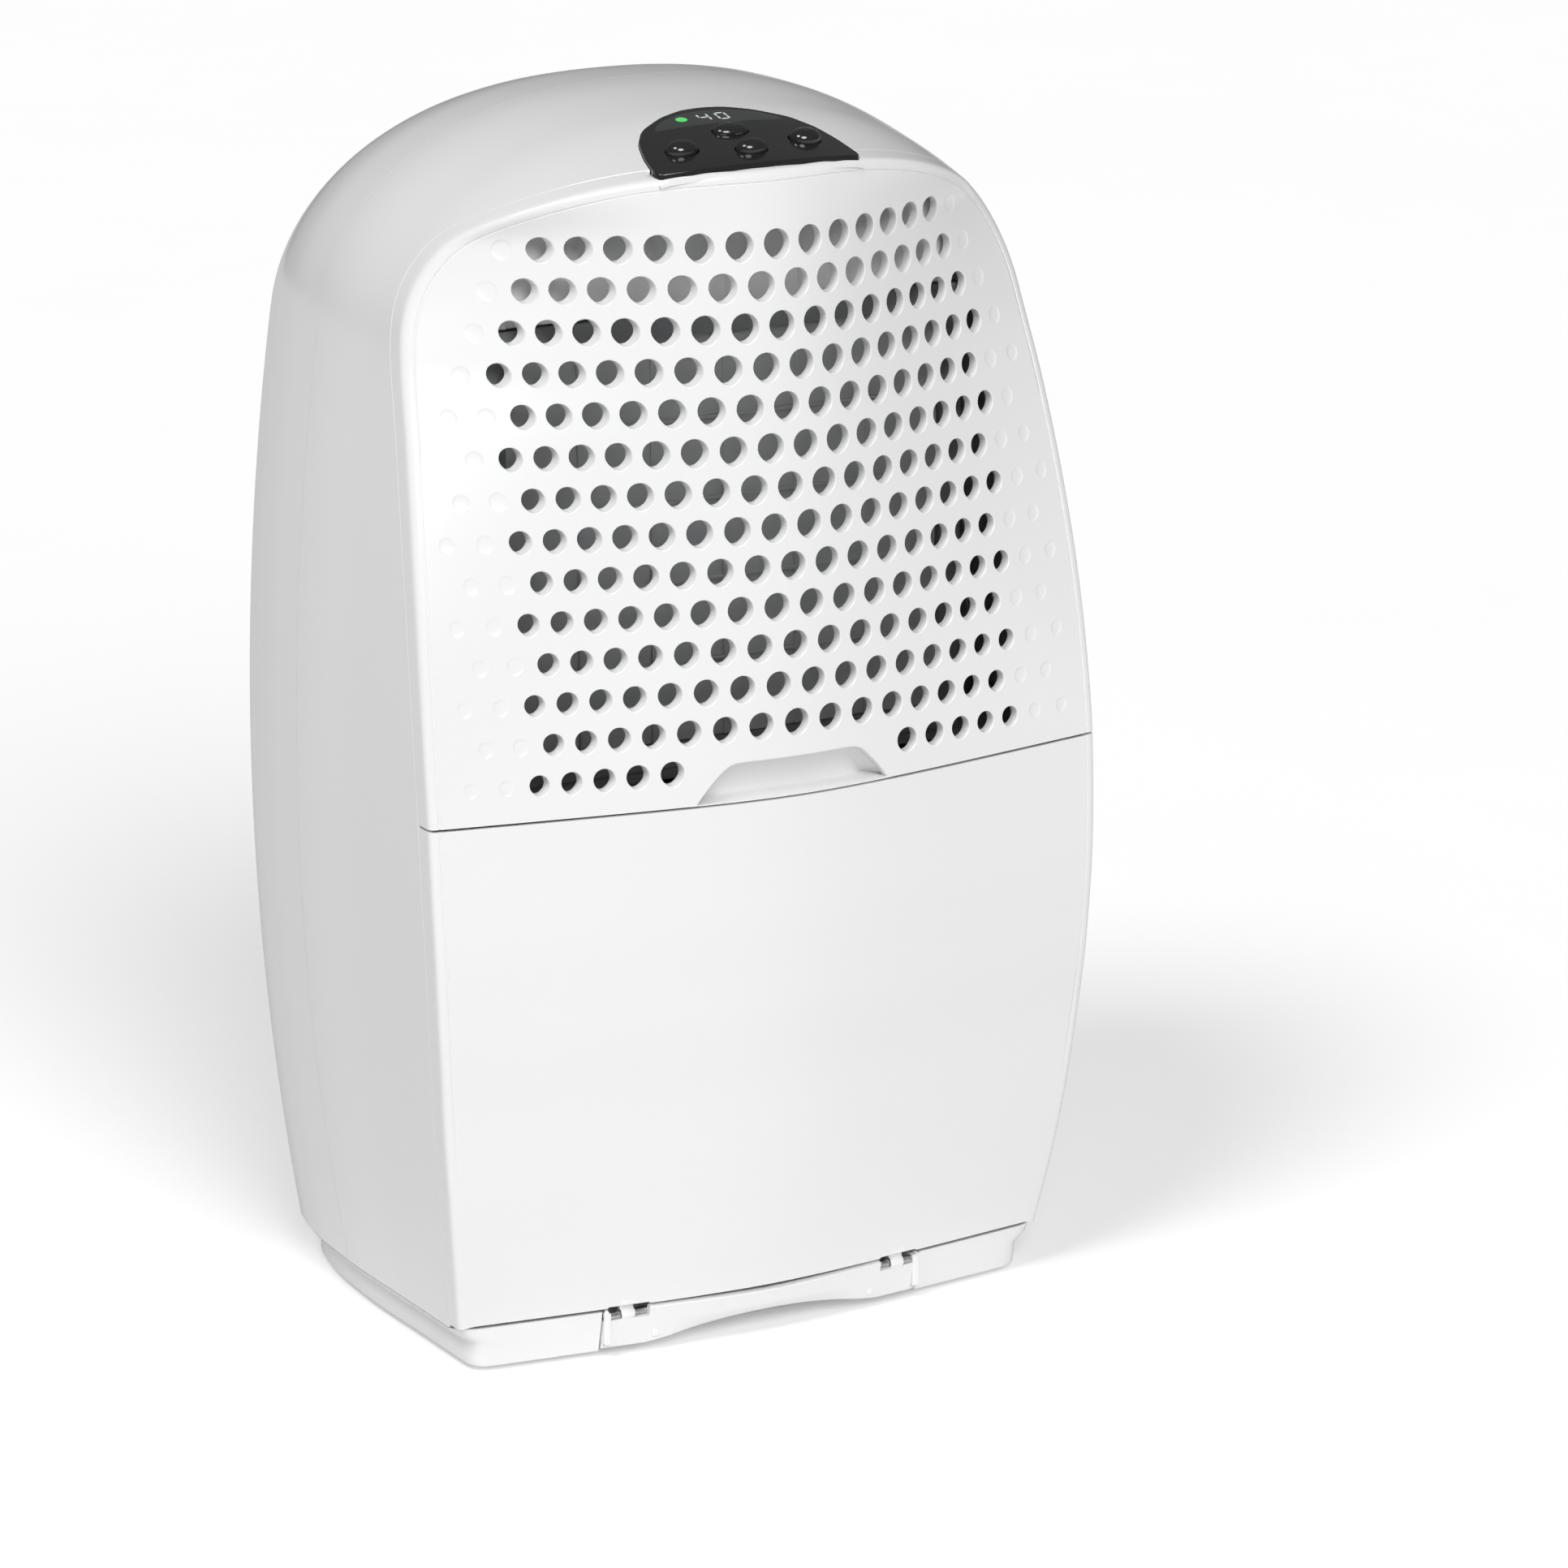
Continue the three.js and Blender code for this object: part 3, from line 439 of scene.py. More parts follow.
# %% The other finishes
black = finish_of("black gloss fascia", (0.012, 0.012, 0.013), 0.14, (0.02, 0.02, 0.021),
                  bump=0.03, worn=0.15, Coat_Weight=0.6, Coat_Roughness=0.05)
glass = finish_of("smoked display glass", (0.03, 0.034, 0.036), 0.08, (0.045, 0.05, 0.05),
                  spread=0.02, bump=0.01, Coat_Weight=1.0, Coat_Roughness=0.03)
clear = finish_of("clear tank plastic", (0.72, 0.78, 0.82), 0.16, (0.66, 0.73, 0.78),
                  bump=0.03, Transmission_Weight=0.75, IOR=1.49)
grey = finish_of("grey moulding", (0.2, 0.205, 0.21), 0.42, (0.17, 0.175, 0.18),
                 bump=0.25, grain=1400, worn=0.3)
dark = finish_of("black moulding", (0.022, 0.022, 0.023), 0.4, (0.032, 0.032, 0.033),
                 bump=0.3, grain=1200, worn=0.35)
board = finish_of("circuit board", (0.02, 0.12, 0.06), 0.38, (0.015, 0.085, 0.045),
                  broad=260, bump=0.4, grain=700)
fins = finish_of("aluminium fins", (0.6, 0.61, 0.62), 0.34, (0.42, 0.43, 0.44),
                 stretch=(40, 4, 1), broad=14, bump=0.5, grain=60, Metallic=1.0)
steel = finish_of("zinc plated steel", (0.55, 0.56, 0.57), 0.3, (0.44, 0.45, 0.46),
                  broad=60, bump=0.2, spread=0.08, Metallic=1.0)
enamel = finish_of("black enamel", (0.014, 0.014, 0.015), 0.28, (0.024, 0.024, 0.026),
                   broad=30, bump=0.35, grain=260, worn=0.4, Coat_Weight=0.3)
copper = finish_of("drawn copper", (0.72, 0.33, 0.19), 0.26, (0.5, 0.21, 0.12),
                   broad=40, spread=0.08, bump=0.15, Metallic=1.0)
rubber = finish_of("black rubber", (0.018, 0.018, 0.018), 0.7, (0.03, 0.03, 0.03),
                   broad=80, bump=0.6, grain=1600)
print("finishes:", len(bpy.data.materials))

# %% [markdown]
# Every node of the frame gets its finish by name, whether it stays in view or not. The
# insides are seen when the tank door is open and through the holes of the grille.

# %% Finishes on the frame
SLOT_FINISH = {
    "white_plastic": white, "black_gloss": black, "display_glass": glass,
    "clear_plastic": clear, "grey_plastic": grey, "black_plastic": dark,
    "circuit_board": board, "aluminium_fins": fins, "steel": steel,
    "black_enamel": enamel, "copper": copper, "rubber": rubber,
}
finish_name = {row["node"]: row["material_slot"] for row in frame["record"]["subparts"]}
for node, thing in frame["nodes"].items():
    thing.data.materials.clear()
    thing.data.materials.append(SLOT_FINISH[finish_name[node]])
print("nodes painted:", len(frame["nodes"]))


def finished(piece, finish, slot, body="cabinet", *stands_for):
    """Finish a piece, put it on its body and hide the nodes it stands for."""
    piece.data.materials.clear()
    piece.data.materials.append(finish)
    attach(piece, body)
    if stands_for:
        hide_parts(*stands_for)
    print(piece.name, len(piece.data.polygons), "faces")
    return piece


# %% Floor
bpy.ops.object.select_all(action="DESELECT")
bpy.ops.mesh.primitive_plane_add(size=14, location=(0, 0, 0))
floor = named("studio_floor")
paper = finish_of("floor paper", (0.9, 0.9, 0.9), 0.8, (0.89, 0.89, 0.89), broad=2, bump=0.02,
                  worn=0, Specular_IOR_Level=0.05)


def lift_paper(finish, amount):
    """Let the paper glow a little to the eye only, so it runs into the white backdrop."""
    nodes, links = finish.node_tree.nodes, finish.node_tree.links
    path = nodes.new("ShaderNodeLightPath")
    glow = nodes.new("ShaderNodeMath")
    glow.operation = "MULTIPLY"
    glow.inputs[1].default_value = amount
    links.new(path.outputs["Is Camera Ray"], glow.inputs[0])
    nodes["Principled BSDF"].inputs["Emission Color"].default_value = (1, 1, 1, 1)
    links.new(glow.outputs[0], nodes["Principled BSDF"].inputs["Emission Strength"])


lift_paper(paper, 0.31)
floor.data.materials.append(paper)

# %% [markdown]
# ## Front housing
# The sides and the crown are one moulding that runs from the turned edge of the front
# panels back to a joint at the widest depth. It is a sheet laid on the skin: one
# direction walks round the outline, the other goes back. Solidify then gives it a wall.

# %% Front housing
REBATE = [(4.0, 3.1), (7.0, 3.1), (RETURN - 0.2, 3.1), (RETURN + 0.15, 2.9), (RETURN + 0.25, 0.3),
          (RETURN + 0.5, 0.0)]


def housing_rule(u, v):
    """The skin, with a rebate at its front edge that lies under the panels' lip."""
    rows = 30
    at = np.rint(v * rows).astype(int)
    front = edge_depth(u)
    start = front + REBATE[-1][0]
    spots = cabinet(u, start + (SPLIT - 0.15 - start) * np.clip((at - 5) / (rows - 5), 0, 1))
    for k, (back, sunk) in enumerate(REBATE):
        row = at == k
        spot = cabinet(u[row], front[row] + back)
        spot[:, [0, 2]] += inward(u[row]) * sunk
        spots[row] = spot
    return spots


housing = sheet("housing_front", 300, 30, housing_rule, wall=1.6, outward=from_axis, even=False)
smooth(housing, 40)
print("housing faces:", len(housing.data.polygons))

# %% [markdown]
# ## Rear cover
# The rear cover carries the skin on round the corner to a flat back. Its rows crowd
# together where the corner turns, and the last ones close the flat back by drawing in to
# its middle line. The air outlet, the carrying recess, the cord hole and the four screw
# holes are cut afterwards, which is how a tool maker adds them too.

# %% Rear cover
BACK_ROWS = np.concatenate([np.linspace(SPLIT + 0.15, 200, 12), np.linspace(203, 240, 22)])
FILL_ROWS = np.linspace(0, 1, 9)[1:]


def rear_rule(u, v):
    rows = len(BACK_ROWS) + len(FILL_ROWS) - 1
    at = np.rint(v * rows).astype(int)
    skin_row = BACK_ROWS[np.minimum(at, len(BACK_ROWS) - 1)]
    spots = cabinet(u, skin_row)
    fill = np.where(at < len(BACK_ROWS), 0, FILL_ROWS[np.clip(at - len(BACK_ROWS), 0, None)])
    spots[:, 0] *= 1 - fill
    return spots


rear = sheet("housing_rear", 300, len(BACK_ROWS) + len(FILL_ROWS) - 1, rear_rule, wall=0,
             outward=lambda c: (c.x, 0.6, c.z - 0.25))
in_edit(rear, lambda: bpy.ops.mesh.remove_doubles(threshold=0.00002))
apply_modifier(rear, "SOLIDIFY", thickness=0.0024, offset=-1, use_even_offset=True)


def slab_cut(name, x0, x1, z0, z1, corner):
    """A rounded-corner cutter through the flat back."""
    tool = block(name, (x0, DEPTH - 7, z0), (x1, DEPTH + 5, z1))
    upright = [e.index for e in tool.data.edges
               if abs((tool.data.vertices[e.vertices[0]].co
                       - tool.data.vertices[e.vertices[1]].co).y) > 0.005]
    only(tool)
    bpy.ops.object.mode_set(mode="EDIT")
    bpy.ops.mesh.select_mode(type="EDGE")
    bpy.ops.mesh.select_all(action="DESELECT")
    bpy.ops.object.mode_set(mode="OBJECT")
    for index in upright:
        tool.data.edges[index].select = True
    bpy.ops.object.mode_set(mode="EDIT")
    bpy.ops.mesh.bevel(offset=corner / 1000, segments=6)
    bpy.ops.mesh.select_mode(type="VERT")
    bpy.ops.object.mode_set(mode="OBJECT")
    return tool


def round_cut(name, x, z, radius, y0=DEPTH - 7, y1=DEPTH + 5, sides=32):
    """A round cutter along the depth."""
    middle = to_scene([x, (y0 + y1) / 2, z])
    bpy.ops.object.select_all(action="DESELECT")
    bpy.ops.mesh.primitive_cylinder_add(vertices=sides, radius=radius / 1000,
                                        depth=(y1 - y0) / 1000, location=tuple(middle),
                                        rotation=(math.pi / 2, 0, 0))
    tool = named(name)
    bpy.ops.object.transform_apply(location=True, rotation=True, scale=True)
    return tool


SCREWS = [(-95, 60), (95, 60), (-105, 340), (105, 340)]
tools = [slab_cut("outlet tool", -68, 68, 284, 416, 5), slab_cut("hand tool", -50, 50, 428, 452, 6),
         round_cut("gland tool", 100, 38, 7.4)]
tools += [round_cut("screw tool", x, z, 4.2) for x, z in SCREWS]
cut(rear, join("rear tools", tools))
smooth(rear, 40)
finished(rear, white, "white_plastic", "cabinet", "rear_cover")

# %% [markdown]
# ## The turned edge of the front panels
# The grille and the door both end in the same turned edge: a bright rounded rim about
# 4 mm wide with a hairline groove inside it, and a lip that wraps 10 mm round onto the
# side. One rule describes a walk across that edge, and both panels use it.

# %% The edge rule
RIM = 4.2
ROUND = 2.6
PANEL_STOP = ([0, 16, 33, 48.2, 49.4], [27.6, 28.1, 29.8, 32.6, 400])
EDGE_WALK = [("side", RETURN), ("side", 7.0), ("side", 4.6), ("side", ROUND), ("turn", 0.2),
             ("turn", 0.4), ("turn", 0.6), ("turn", 0.8), ("front", ROUND), ("front", 3.3),
             ("front", RIM - 0.45), ("groove", RIM - 0.2), ("groove", RIM + 0.2),
             ("front", RIM + 0.45), ("front", RIM + 1.2)]
INNER_RIM = RIM + 2.2


def on_front(share, distance):
    """A point of the front surface, a distance inside the outline."""
    corner = cabinet(share, edge_depth(share))
    into = inward(share)
    x = corner[..., 0] + into[..., 0] * distance
    z = corner[..., 2] + into[..., 1] * distance
    return np.stack([x, front_depth(x, z), z], -1)


def edge_spot(share, step):
    kind, value = EDGE_WALK[step]
    corner = cabinet(share, edge_depth(share))
    if kind == "side":
        return cabinet(share, edge_depth(share) + value)
    if kind == "turn":
        back = cabinet(share, edge_depth(share) + ROUND)
        face = on_front(share, ROUND)
        t = value
        return (1 - t) ** 2 * back + 2 * t * (1 - t) * corner + t * t * face
    spot = on_front(share, value)
    if kind == "groove":
        spot[..., 1] += 0.4
    return spot


def edge_rule(from_share, to_share):
    """The rule of an edge strip; it turns down where it meets the control panel."""
    def rule(u, v):
        share = from_share + (to_share - from_share) * u
        step = np.rint(v * len(EDGE_WALK)).astype(int)
        spots = on_front(share, INNER_RIM)
        for k in range(len(EDGE_WALK)):
            row = step == k
            spots[row] = edge_spot(share[row], k)
        stop = np.interp(np.abs(spots[:, 0]), *PANEL_STOP)
        over = np.clip(spots[:, 1] - stop, 0, None) * (spots[:, 2] > 480)
        spots[:, 1] -= over
        spots[:, 2] -= 0.6 * over
        return spots
    return rule


SEAM_GAP = 0.55
grille_foot = SEAM + SEAM_GAP
door_head = SEAM - SEAM_GAP
seam_share = share_at(grille_foot)
print("seam at", round(seam_share, 4), "of the outline")

# %% [markdown]
# ## Front grille
# The grille fills an arch. A square grid would bunch up at its shoulders, so the grid is
# stretched between four border curves instead: the two flanks, the arch and the seam.
# The edge strip shares its border points, and the two are merged into one skin.

# %% The grille's skin
FLANK_STEPS, ARCH_STEPS = 84, 120
shoulder_share = seam_share + (0.5 - seam_share) * FLANK_STEPS / (FLANK_STEPS + ARCH_STEPS / 2)


def flat(spots):
    return spots[..., [0, 2]]


def grille_rule(u, v):
    """A patch stretched between its four borders, pressed onto the front surface."""
    rise = seam_share + (shoulder_share - seam_share) * v
    left = flat(on_front(rise, INNER_RIM))
    right = left * [-1, 1]
    top = flat(on_front(shoulder_share + (1 - 2 * shoulder_share) * u, INNER_RIM))
    low = flat(on_front(np.full_like(u, seam_share), INNER_RIM))
    foot = np.stack([low[:, 0] * (1 - 2 * u), low[:, 1]], -1)
    u, v = u[:, None], v[:, None]
    high = flat(on_front(np.full(u.shape[0], shoulder_share), INNER_RIM))
    corners = ((1 - u) * (1 - v) * low + u * (1 - v) * low * [-1, 1]
               + (1 - u) * v * high + u * v * high * [-1, 1])
    spot = (1 - v) * foot + v * top + (1 - u) * left + u * right - corners
    return np.stack([spot[:, 0], front_depth(spot[:, 0], spot[:, 1]), spot[:, 1]], -1)


field = sheet("grille field", ARCH_STEPS, FLANK_STEPS, grille_rule, wall=0, outward=to_front)
strip = sheet("grille strip", 2 * FLANK_STEPS + ARCH_STEPS, len(EDGE_WALK),
              edge_rule(seam_share, 1 - seam_share), wall=0,
              outward=lambda c: (c.x, -0.3, c.z - 0.25))
grille = join("grille_panel", [field, strip])
in_edit(grille, lambda: bpy.ops.mesh.remove_doubles(threshold=0.00004))
print("grille skin:", len(grille.data.vertices), "points,",
      sum(1 for e in grille.data.edges if e.is_loose), "loose edges")


def deep_field(piece, margin=7.0, ease=8.0):
    """A vertex group that is full in the perforated field and empty at the rim."""
    spots = places(piece)[:, [0, 2]] * 1000 - [0, FOOT]
    border = flat(on_front(np.linspace(seam_share, 1 - seam_share, 400), 0))
    far = np.min(np.hypot(*(spots[:, None] - border[None]).transpose(2, 0, 1)), axis=1)
    group = piece.vertex_groups.new(name="deep")
    for index, weight in enumerate(np.clip((far - margin) / ease, 0, 1)):
        group.add([index], float(weight), "REPLACE")
    return group


deep_field(grille)
apply_modifier(grille, "SOLIDIFY", thickness=0.0052, offset=-1, vertex_group="deep",
               thickness_vertex_group=0.46)

# %% [markdown]
# ## Plugs that follow the surface
# A hole in a curved glossy panel shows whether its rim is even. So each cutter is a ball
# whose rings are pressed into a plug with a small flare at the surface: the rings take
# their depth from the front surface itself, which keeps the flare even all round.

# %% One plug, then many
def ringed_ball(name, sides, rings):
    """A ball to shape ring by ring, with each vertex's ring and its angle about the axis."""
    bpy.ops.object.select_all(action="DESELECT")
    bpy.ops.mesh.primitive_uv_sphere_add(segments=sides, ring_count=rings + 1, radius=1)
    piece = named(name)
    ball = places(piece)
    level = np.rint(np.degrees(np.arccos(np.clip(ball[:, 2], -1, 1)))
                    / 180 * (rings + 1)).astype(int)
    return piece, level, np.arctan2(ball[:, 1], ball[:, 0])


def plug(name, edge, rings, centre, sides=20):
    """A closed cutter; edge(angle) gives its outline, rings give (grow, depth)."""
    piece, level, turn = ringed_ball(name, sides, len(rings))
    grow = np.array([0] + [r[0] for r in rings] + [0])[level]
    depth = np.array([rings[0][1]] + [r[1] for r in rings] + [rings[-1][1]])[level]
    pole = (level == 0) | (level == len(rings) + 1)
    reach = np.where(pole[:, None], 0, edge(turn) + grow[:, None] * away(edge, turn))
    x = centre[0] + reach[:, 0]
    z = centre[1] + reach[:, 1]
    settle(piece, to_scene(np.stack([x, front_depth(x, z) + depth, z], 1)))
    in_edit(piece, lambda: bpy.ops.mesh.normals_make_consistent(inside=False))
    return piece


def away(edge, turn):
    """Directions square to an outline and out of it."""
    run = edge(turn + 0.02) - edge(turn - 0.02)
    return np.stack([run[:, 1], -run[:, 0]], 1) / np.linalg.norm(run, axis=1)[:, None]


def drop_edge(radius):
    """A round hole with a slight point at its foot."""
    def edge(turn):
        low = np.clip(-np.sin(turn), 0, 1) ** 8
        reach = radius * (1 + 0.14 * low)
        return np.stack([reach * np.cos(turn), reach * np.sin(turn)], 1)
    return edge


ROW_COUNTS = [13, 14, 15, 16, 15, 16, 15, 16, 15, 16, 15, 16, 15, 16]


def hole_places():
    """Centres of the air holes and of the blind dimples beside them."""
    open_holes, blind = [], []
    for row, count in enumerate(ROW_COUNTS):
        z = 484 - 16.8 * row
        for i in range(-3, count + 3):
            s = i - (count - 1) / 2
            x = 16.5 * s * (1 - 0.0024 * s * s + 1.5e-5 * s ** 4)
            if row == len(ROW_COUNTS) - 1 and abs(s) < 3:
                continue
            if 0 <= i < count:
                open_holes.append((x, z))
            elif abs(x) < abs(float(on_front(np.array([share_at(z)]), 12)[0, 0])):
                blind.append((x, z))
    return open_holes, blind


def hole_radius(x, z):
    low = max(0.0, (400 - z) / 200)
    return 6 - 2.4 * min(1.0, (abs(x) / HALF_WIDTH) ** 1.6 + 0.25 * low)


open_holes, blind = hole_places()
print(len(open_holes), "air holes and", len(blind), "dimples")

# %% Cut the air holes
def keep_sheen(piece, surface, margin=None):
    """Normals straight from the surface's own rule, so cutting leaves no ripple in the gloss.

    surface(x, y, z) gives each point's distance from the skin and the skin's normal."""
    data = piece.data
    spots = places(piece) * 1000 - [0, -DEPTH / 2, FOOT]
    own = np.empty(len(data.loops) * 3)
    data.corner_normals.foreach_get("vector", own)
    own = own.reshape(-1, 3)
    point = np.empty(len(data.loops), int)
    data.loops.foreach_get("vertex_index", point)
    sides = np.empty(len(data.polygons), int)
    data.polygons.foreach_get("loop_total", sides)
    facing = np.empty(len(data.polygons) * 3)
    data.polygons.foreach_get("normal", facing)
    facing = np.repeat(facing.reshape(-1, 3), sides, axis=0)
    gap, normal = surface(*spots.T)
    skin = np.abs(gap) < 0.05
    if margin:
        border = flat(on_front(np.linspace(0, 1, 500), 0))
        near = np.min(np.hypot(*(spots[:, None, [0, 2]] - border[None]).transpose(2, 0, 1)), axis=1)
        skin &= near > margin
    keep = skin[point] & (np.sum(facing * normal[point], 1) > 0.95)
    own[keep] = normal[point][keep]
    data.normals_split_custom_set(own.tolist())
    print(piece.name, "corners on the skin:", int(keep.sum()), "of", len(keep))


def front_skin(x, y, z):
    """Distance from the front surface, and its normal."""
    run = (front_depth(x + 0.5, z) - front_depth(x - 0.5, z)) / 1.0
    rise = (front_depth(x, z + 0.5) - front_depth(x, z - 0.5)) / 1.0
    normal = np.stack([run, -np.ones_like(run), rise], 1)
    return y - front_depth(x, z), normal / np.linalg.norm(normal, axis=1)[:, None]


HOLE_RINGS = [(0.4, -3), (0.35, 0.0), (0.08, 0.18), (-0.05, 0.5), (-0.5, 10)]
DIMPLE_RINGS = [(0.2, -2), (0.1, 0.0), (-0.4, 0.22), (-1.4, 0.32)]
punches = [plug("punch", drop_edge(hole_radius(x, z)), HOLE_RINGS, (x, z))
           for x, z in open_holes]
dimples = [plug("dimple", drop_edge(hole_radius(x, z) * 0.84), DIMPLE_RINGS, (x, z), 16)
           for x, z in blind]
print("plugs ready:", len(punches) + len(dimples))

# %% [markdown]
# ## Openings for the control panel and the grip
# The control panel drops into a well in the front of the crown, which an upright tool
# cuts. The grille isn't cut there: the edge rule stops its strip short of the panel. The
# grip is a flared notch in the lower edge of the grille, and its tool is another plug.

# %% The control panel's outline
def rounded_loop(corners, rounds, count=160):
    """A closed outline through the corners, softened by averaging."""
    corners = np.array(corners, float)
    ring = np.concatenate([corners, corners[:1]])
    run = np.concatenate([[0], np.cumsum(np.hypot(*np.diff(ring, axis=0).T))])
    at = np.linspace(0, run[-1], count, endpoint=False)
    loop = np.stack([np.interp(at, run, ring[:, k]) for k in (0, 1)], 1)
    for _ in range(rounds):
        loop = (np.roll(loop, 1, 0) + 2 * loop + np.roll(loop, -1, 0)) / 4
    return loop


PANEL_CORNERS = [(0, 28), (16, 28.5), (33, 30.2), (48, 33), (45.5, 50), (42, 62), (35, 73),
                 (22, 82), (10, 87), (0, 88)]
PANEL_CORNERS += [(-x, y) for x, y in PANEL_CORNERS[-2:0:-1]]
panel_loop = rounded_loop(PANEL_CORNERS, 3)


def loop_edge(loop, centre):
    """An outline as a function of the angle about a centre."""
    about = loop - centre
    turn = np.arctan2(about[:, 1], about[:, 0])
    order = np.argsort(turn)
    turn, about = turn[order], about[order]
    reach = np.hypot(*about.T)

    def edge(angle):
        angle = (np.asarray(angle) + np.pi) % (2 * np.pi) - np.pi
        far = np.interp(angle, turn, reach, period=2 * np.pi)
        return np.stack([far * np.cos(angle), far * np.sin(angle)], 1)
    return edge


def crown_height(x, y):
    """Height of the cabinet's crown above a point of its plan."""
    top = outline[200:401]
    wide = 1 + batten(DEPTHS, SWELLS, y) / HALF_WIDTH
    z = np.interp(np.asarray(x) / wide, top[:, 0], top[:, 1])
    rise = (batten(DEPTHS, CROWNS, y) - WIDEST_AT) / (ARCH_BASE + ARCH_RISE - WIDEST_AT)
    return z + (z - WIDEST_AT) * (rise - 1)


def stacked(name, edge, rings, lay, sides=96):
    """A closed piece from a ball: rings are (grow, height), and lay places them."""
    piece, level, turn = ringed_ball(name, sides, len(rings))
    grow = np.array([0] + [r[0] for r in rings] + [0])[level]
    height = np.array([rings[0][1]] + [r[1] for r in rings] + [rings[-1][1]])[level]
    pole = (level == 0) | (level == len(rings) + 1)
    reach = np.where(pole[:, None], 0, edge(turn) * (1 + grow[:, None]))
    settle(piece, to_scene(lay(reach[:, 0], reach[:, 1], height)))
    in_edit(piece, lambda: bpy.ops.mesh.normals_make_consistent(inside=False))
    return piece


PANEL_MIDDLE = np.array([0, 56.0])
panel_edge = loop_edge(panel_loop, PANEL_MIDDLE)


def upright(x, y, height):
    return np.stack([x, y + PANEL_MIDDLE[1], height], 1)


well_tool = stacked("well tool", panel_edge, [(0.008, 560), (0.008, 545), (0.008, 500)], upright)
cut(housing, well_tool, itself=True)
print("housing cut:", len(housing.data.polygons), "faces")
smooth(housing, 40)
finished(housing, white, "white_plastic", "cabinet", "front_housing")

# %% The grip notch
GRIP_MIDDLE = (0.0, 256.0)
grip_loop = rounded_loop([(-47, -10), (47, -10), (46, -5.5), (39, 3), (33, 9), (29, 11),
                          (-29, 11), (-33, 9), (-39, 3), (-46, -5.5)], 6, 200)
grip_edge = loop_edge(grip_loop, (0, 0))
grip_tool = plug("grip tool", grip_edge, [(0.9, -3), (0.8, 0), (0.2, 0.35), (0, 0.9), (-0.2, 9)],
                 GRIP_MIDDLE, 120)
cut(grille, join("grille tools", punches + dimples + [grip_tool]))
print("grille cut:", len(grille.data.polygons), "faces")
smooth(grille, 40)
keep_sheen(grille, front_skin, margin=RIM + 1.6)
finished(grille, white, "white_plastic", "cabinet", "front_grille")

# %% [markdown]
# ## Grip cup
# Fingers go in above the door's edge, so the cup behind the notch is flush at its top
# and falls away to its full depth at the seam. It is one grid pressed back by a rule
# that eases off towards the sides.

# %% Grip cup
def cup_rule(u, v):
    x = -48.5 + 97 * u
    rise = np.clip((v - 0.3) / 0.7, 0, 1)
    z = 250.7 + 18.7 * rise
    down = np.clip((268.0 - z) / 17.3, 0, 1)
    wall = 45.5 - 14.5 * np.clip((z - 250) / 17.0, 0, 1)
    side = np.clip((wall + 2.5 - np.abs(x)) / 8.0, 0, 1)
    ease = side * side * (3 - 2 * side)
    depth = 5.3 + 9.5 * ease * np.sin(down * math.pi / 2) ** 1.2
    depth = np.where(v < 0.3, 0.5 + (depth - 0.5) * np.clip(v / 0.3, 0, 1), depth)
    return np.stack([x, front_depth(x, z) + depth, z], -1)


cup = sheet("grip_scoop", 96, 40, cup_rule, wall=0.5, outward=to_front, even=False)
smooth(cup, 50)
finished(cup, white, "white_plastic", "cabinet", "grip_cup")

# %% [markdown]
# ## Filter net
# The light patches seen through the air holes are the dust filter: a fine nylon net held
# in a frame. Its threads are far thinner than a hole, so the net is a thin sheet with a
# woven finish, ribbed by the bars that stiffen it.

# %% Filter net
def woven(name, colour, threads):
    """A finish of crossing threads: two wave patterns at right angles."""
    made = finish_of(name, colour, 0.6, [c * 0.8 for c in colour], worn=0)
    nodes, links = made.node_tree.nodes, made.node_tree.links
    place = next(n for n in nodes if n.type == "MAPPING")
    waves = []
    for direction in ("X", "Z"):
        wave = nodes.new("ShaderNodeTexWave")
        wave.bands_direction = direction
        wave.inputs["Scale"].default_value = threads
        links.new(place.outputs["Vector"], wave.inputs["Vector"])
        waves.append(wave.outputs["Fac"])
    cross = nodes.new("ShaderNodeMath")
    cross.operation = "MAXIMUM"
    links.new(waves[0], cross.inputs[0])
    links.new(waves[1], cross.inputs[1])
    relief = next(n for n in nodes if n.type == "BUMP")
    relief.inputs["Strength"].default_value = 0.8
    links.new(cross.outputs[0], relief.inputs["Height"])
    tint = nodes.new("ShaderNodeValToRGB")
    tint.color_ramp.elements[0].color = (*[c * 0.45 for c in colour], 1)
    tint.color_ramp.elements[1].color = (*colour, 1)
    links.new(cross.outputs[0], tint.inputs["Fac"])
    links.new(tint.outputs["Color"], nodes["Principled BSDF"].inputs["Base Color"])
    return made


def net_rule(u, v):
    x, z = -103.4 + 206.8 * u, 260.5 + 177.0 * v
    bow = 0.6 * np.cos(x / 34.5 * 2 * np.pi) * np.cos((z - 295) / 35.4 * 2 * np.pi)
    return np.stack([x, 66.8 + bow, z], -1)


net = sheet("filter_net", 120, 100, net_rule, wall=0.4, outward=to_front)
ribs = []
for k in range(5):
    ribs.append(block("net rib", (-69.8 + 34.5 * k, 65.6, 260.6), (-68.2 + 34.5 * k, 68, 437.4)))
for k in range(4):
    ribs.append(block("net rib", (-103.4, 65.6, 294.2 + 35.4 * k), (103.4, 68, 295.8 + 35.4 * k)))
for rib in ribs:
    apply_modifier(rib, "BEVEL", width=0.0005, segments=2)
net = join("filter_net", [net] + ribs)
smooth(net, 40)
netting = woven("nylon netting", (0.62, 0.63, 0.64), 900)
finished(net, netting, "black_plastic", "cabinet", "filter_mesh")

# %% [markdown]
# ## Upper baffle
# The top rows of holes stand above the filter. Behind them a ribbed plate closes the
# space over the coils, so that air drawn in there falls to the filter instead of
# slipping past it, and so that no dark cavern shows through those holes.

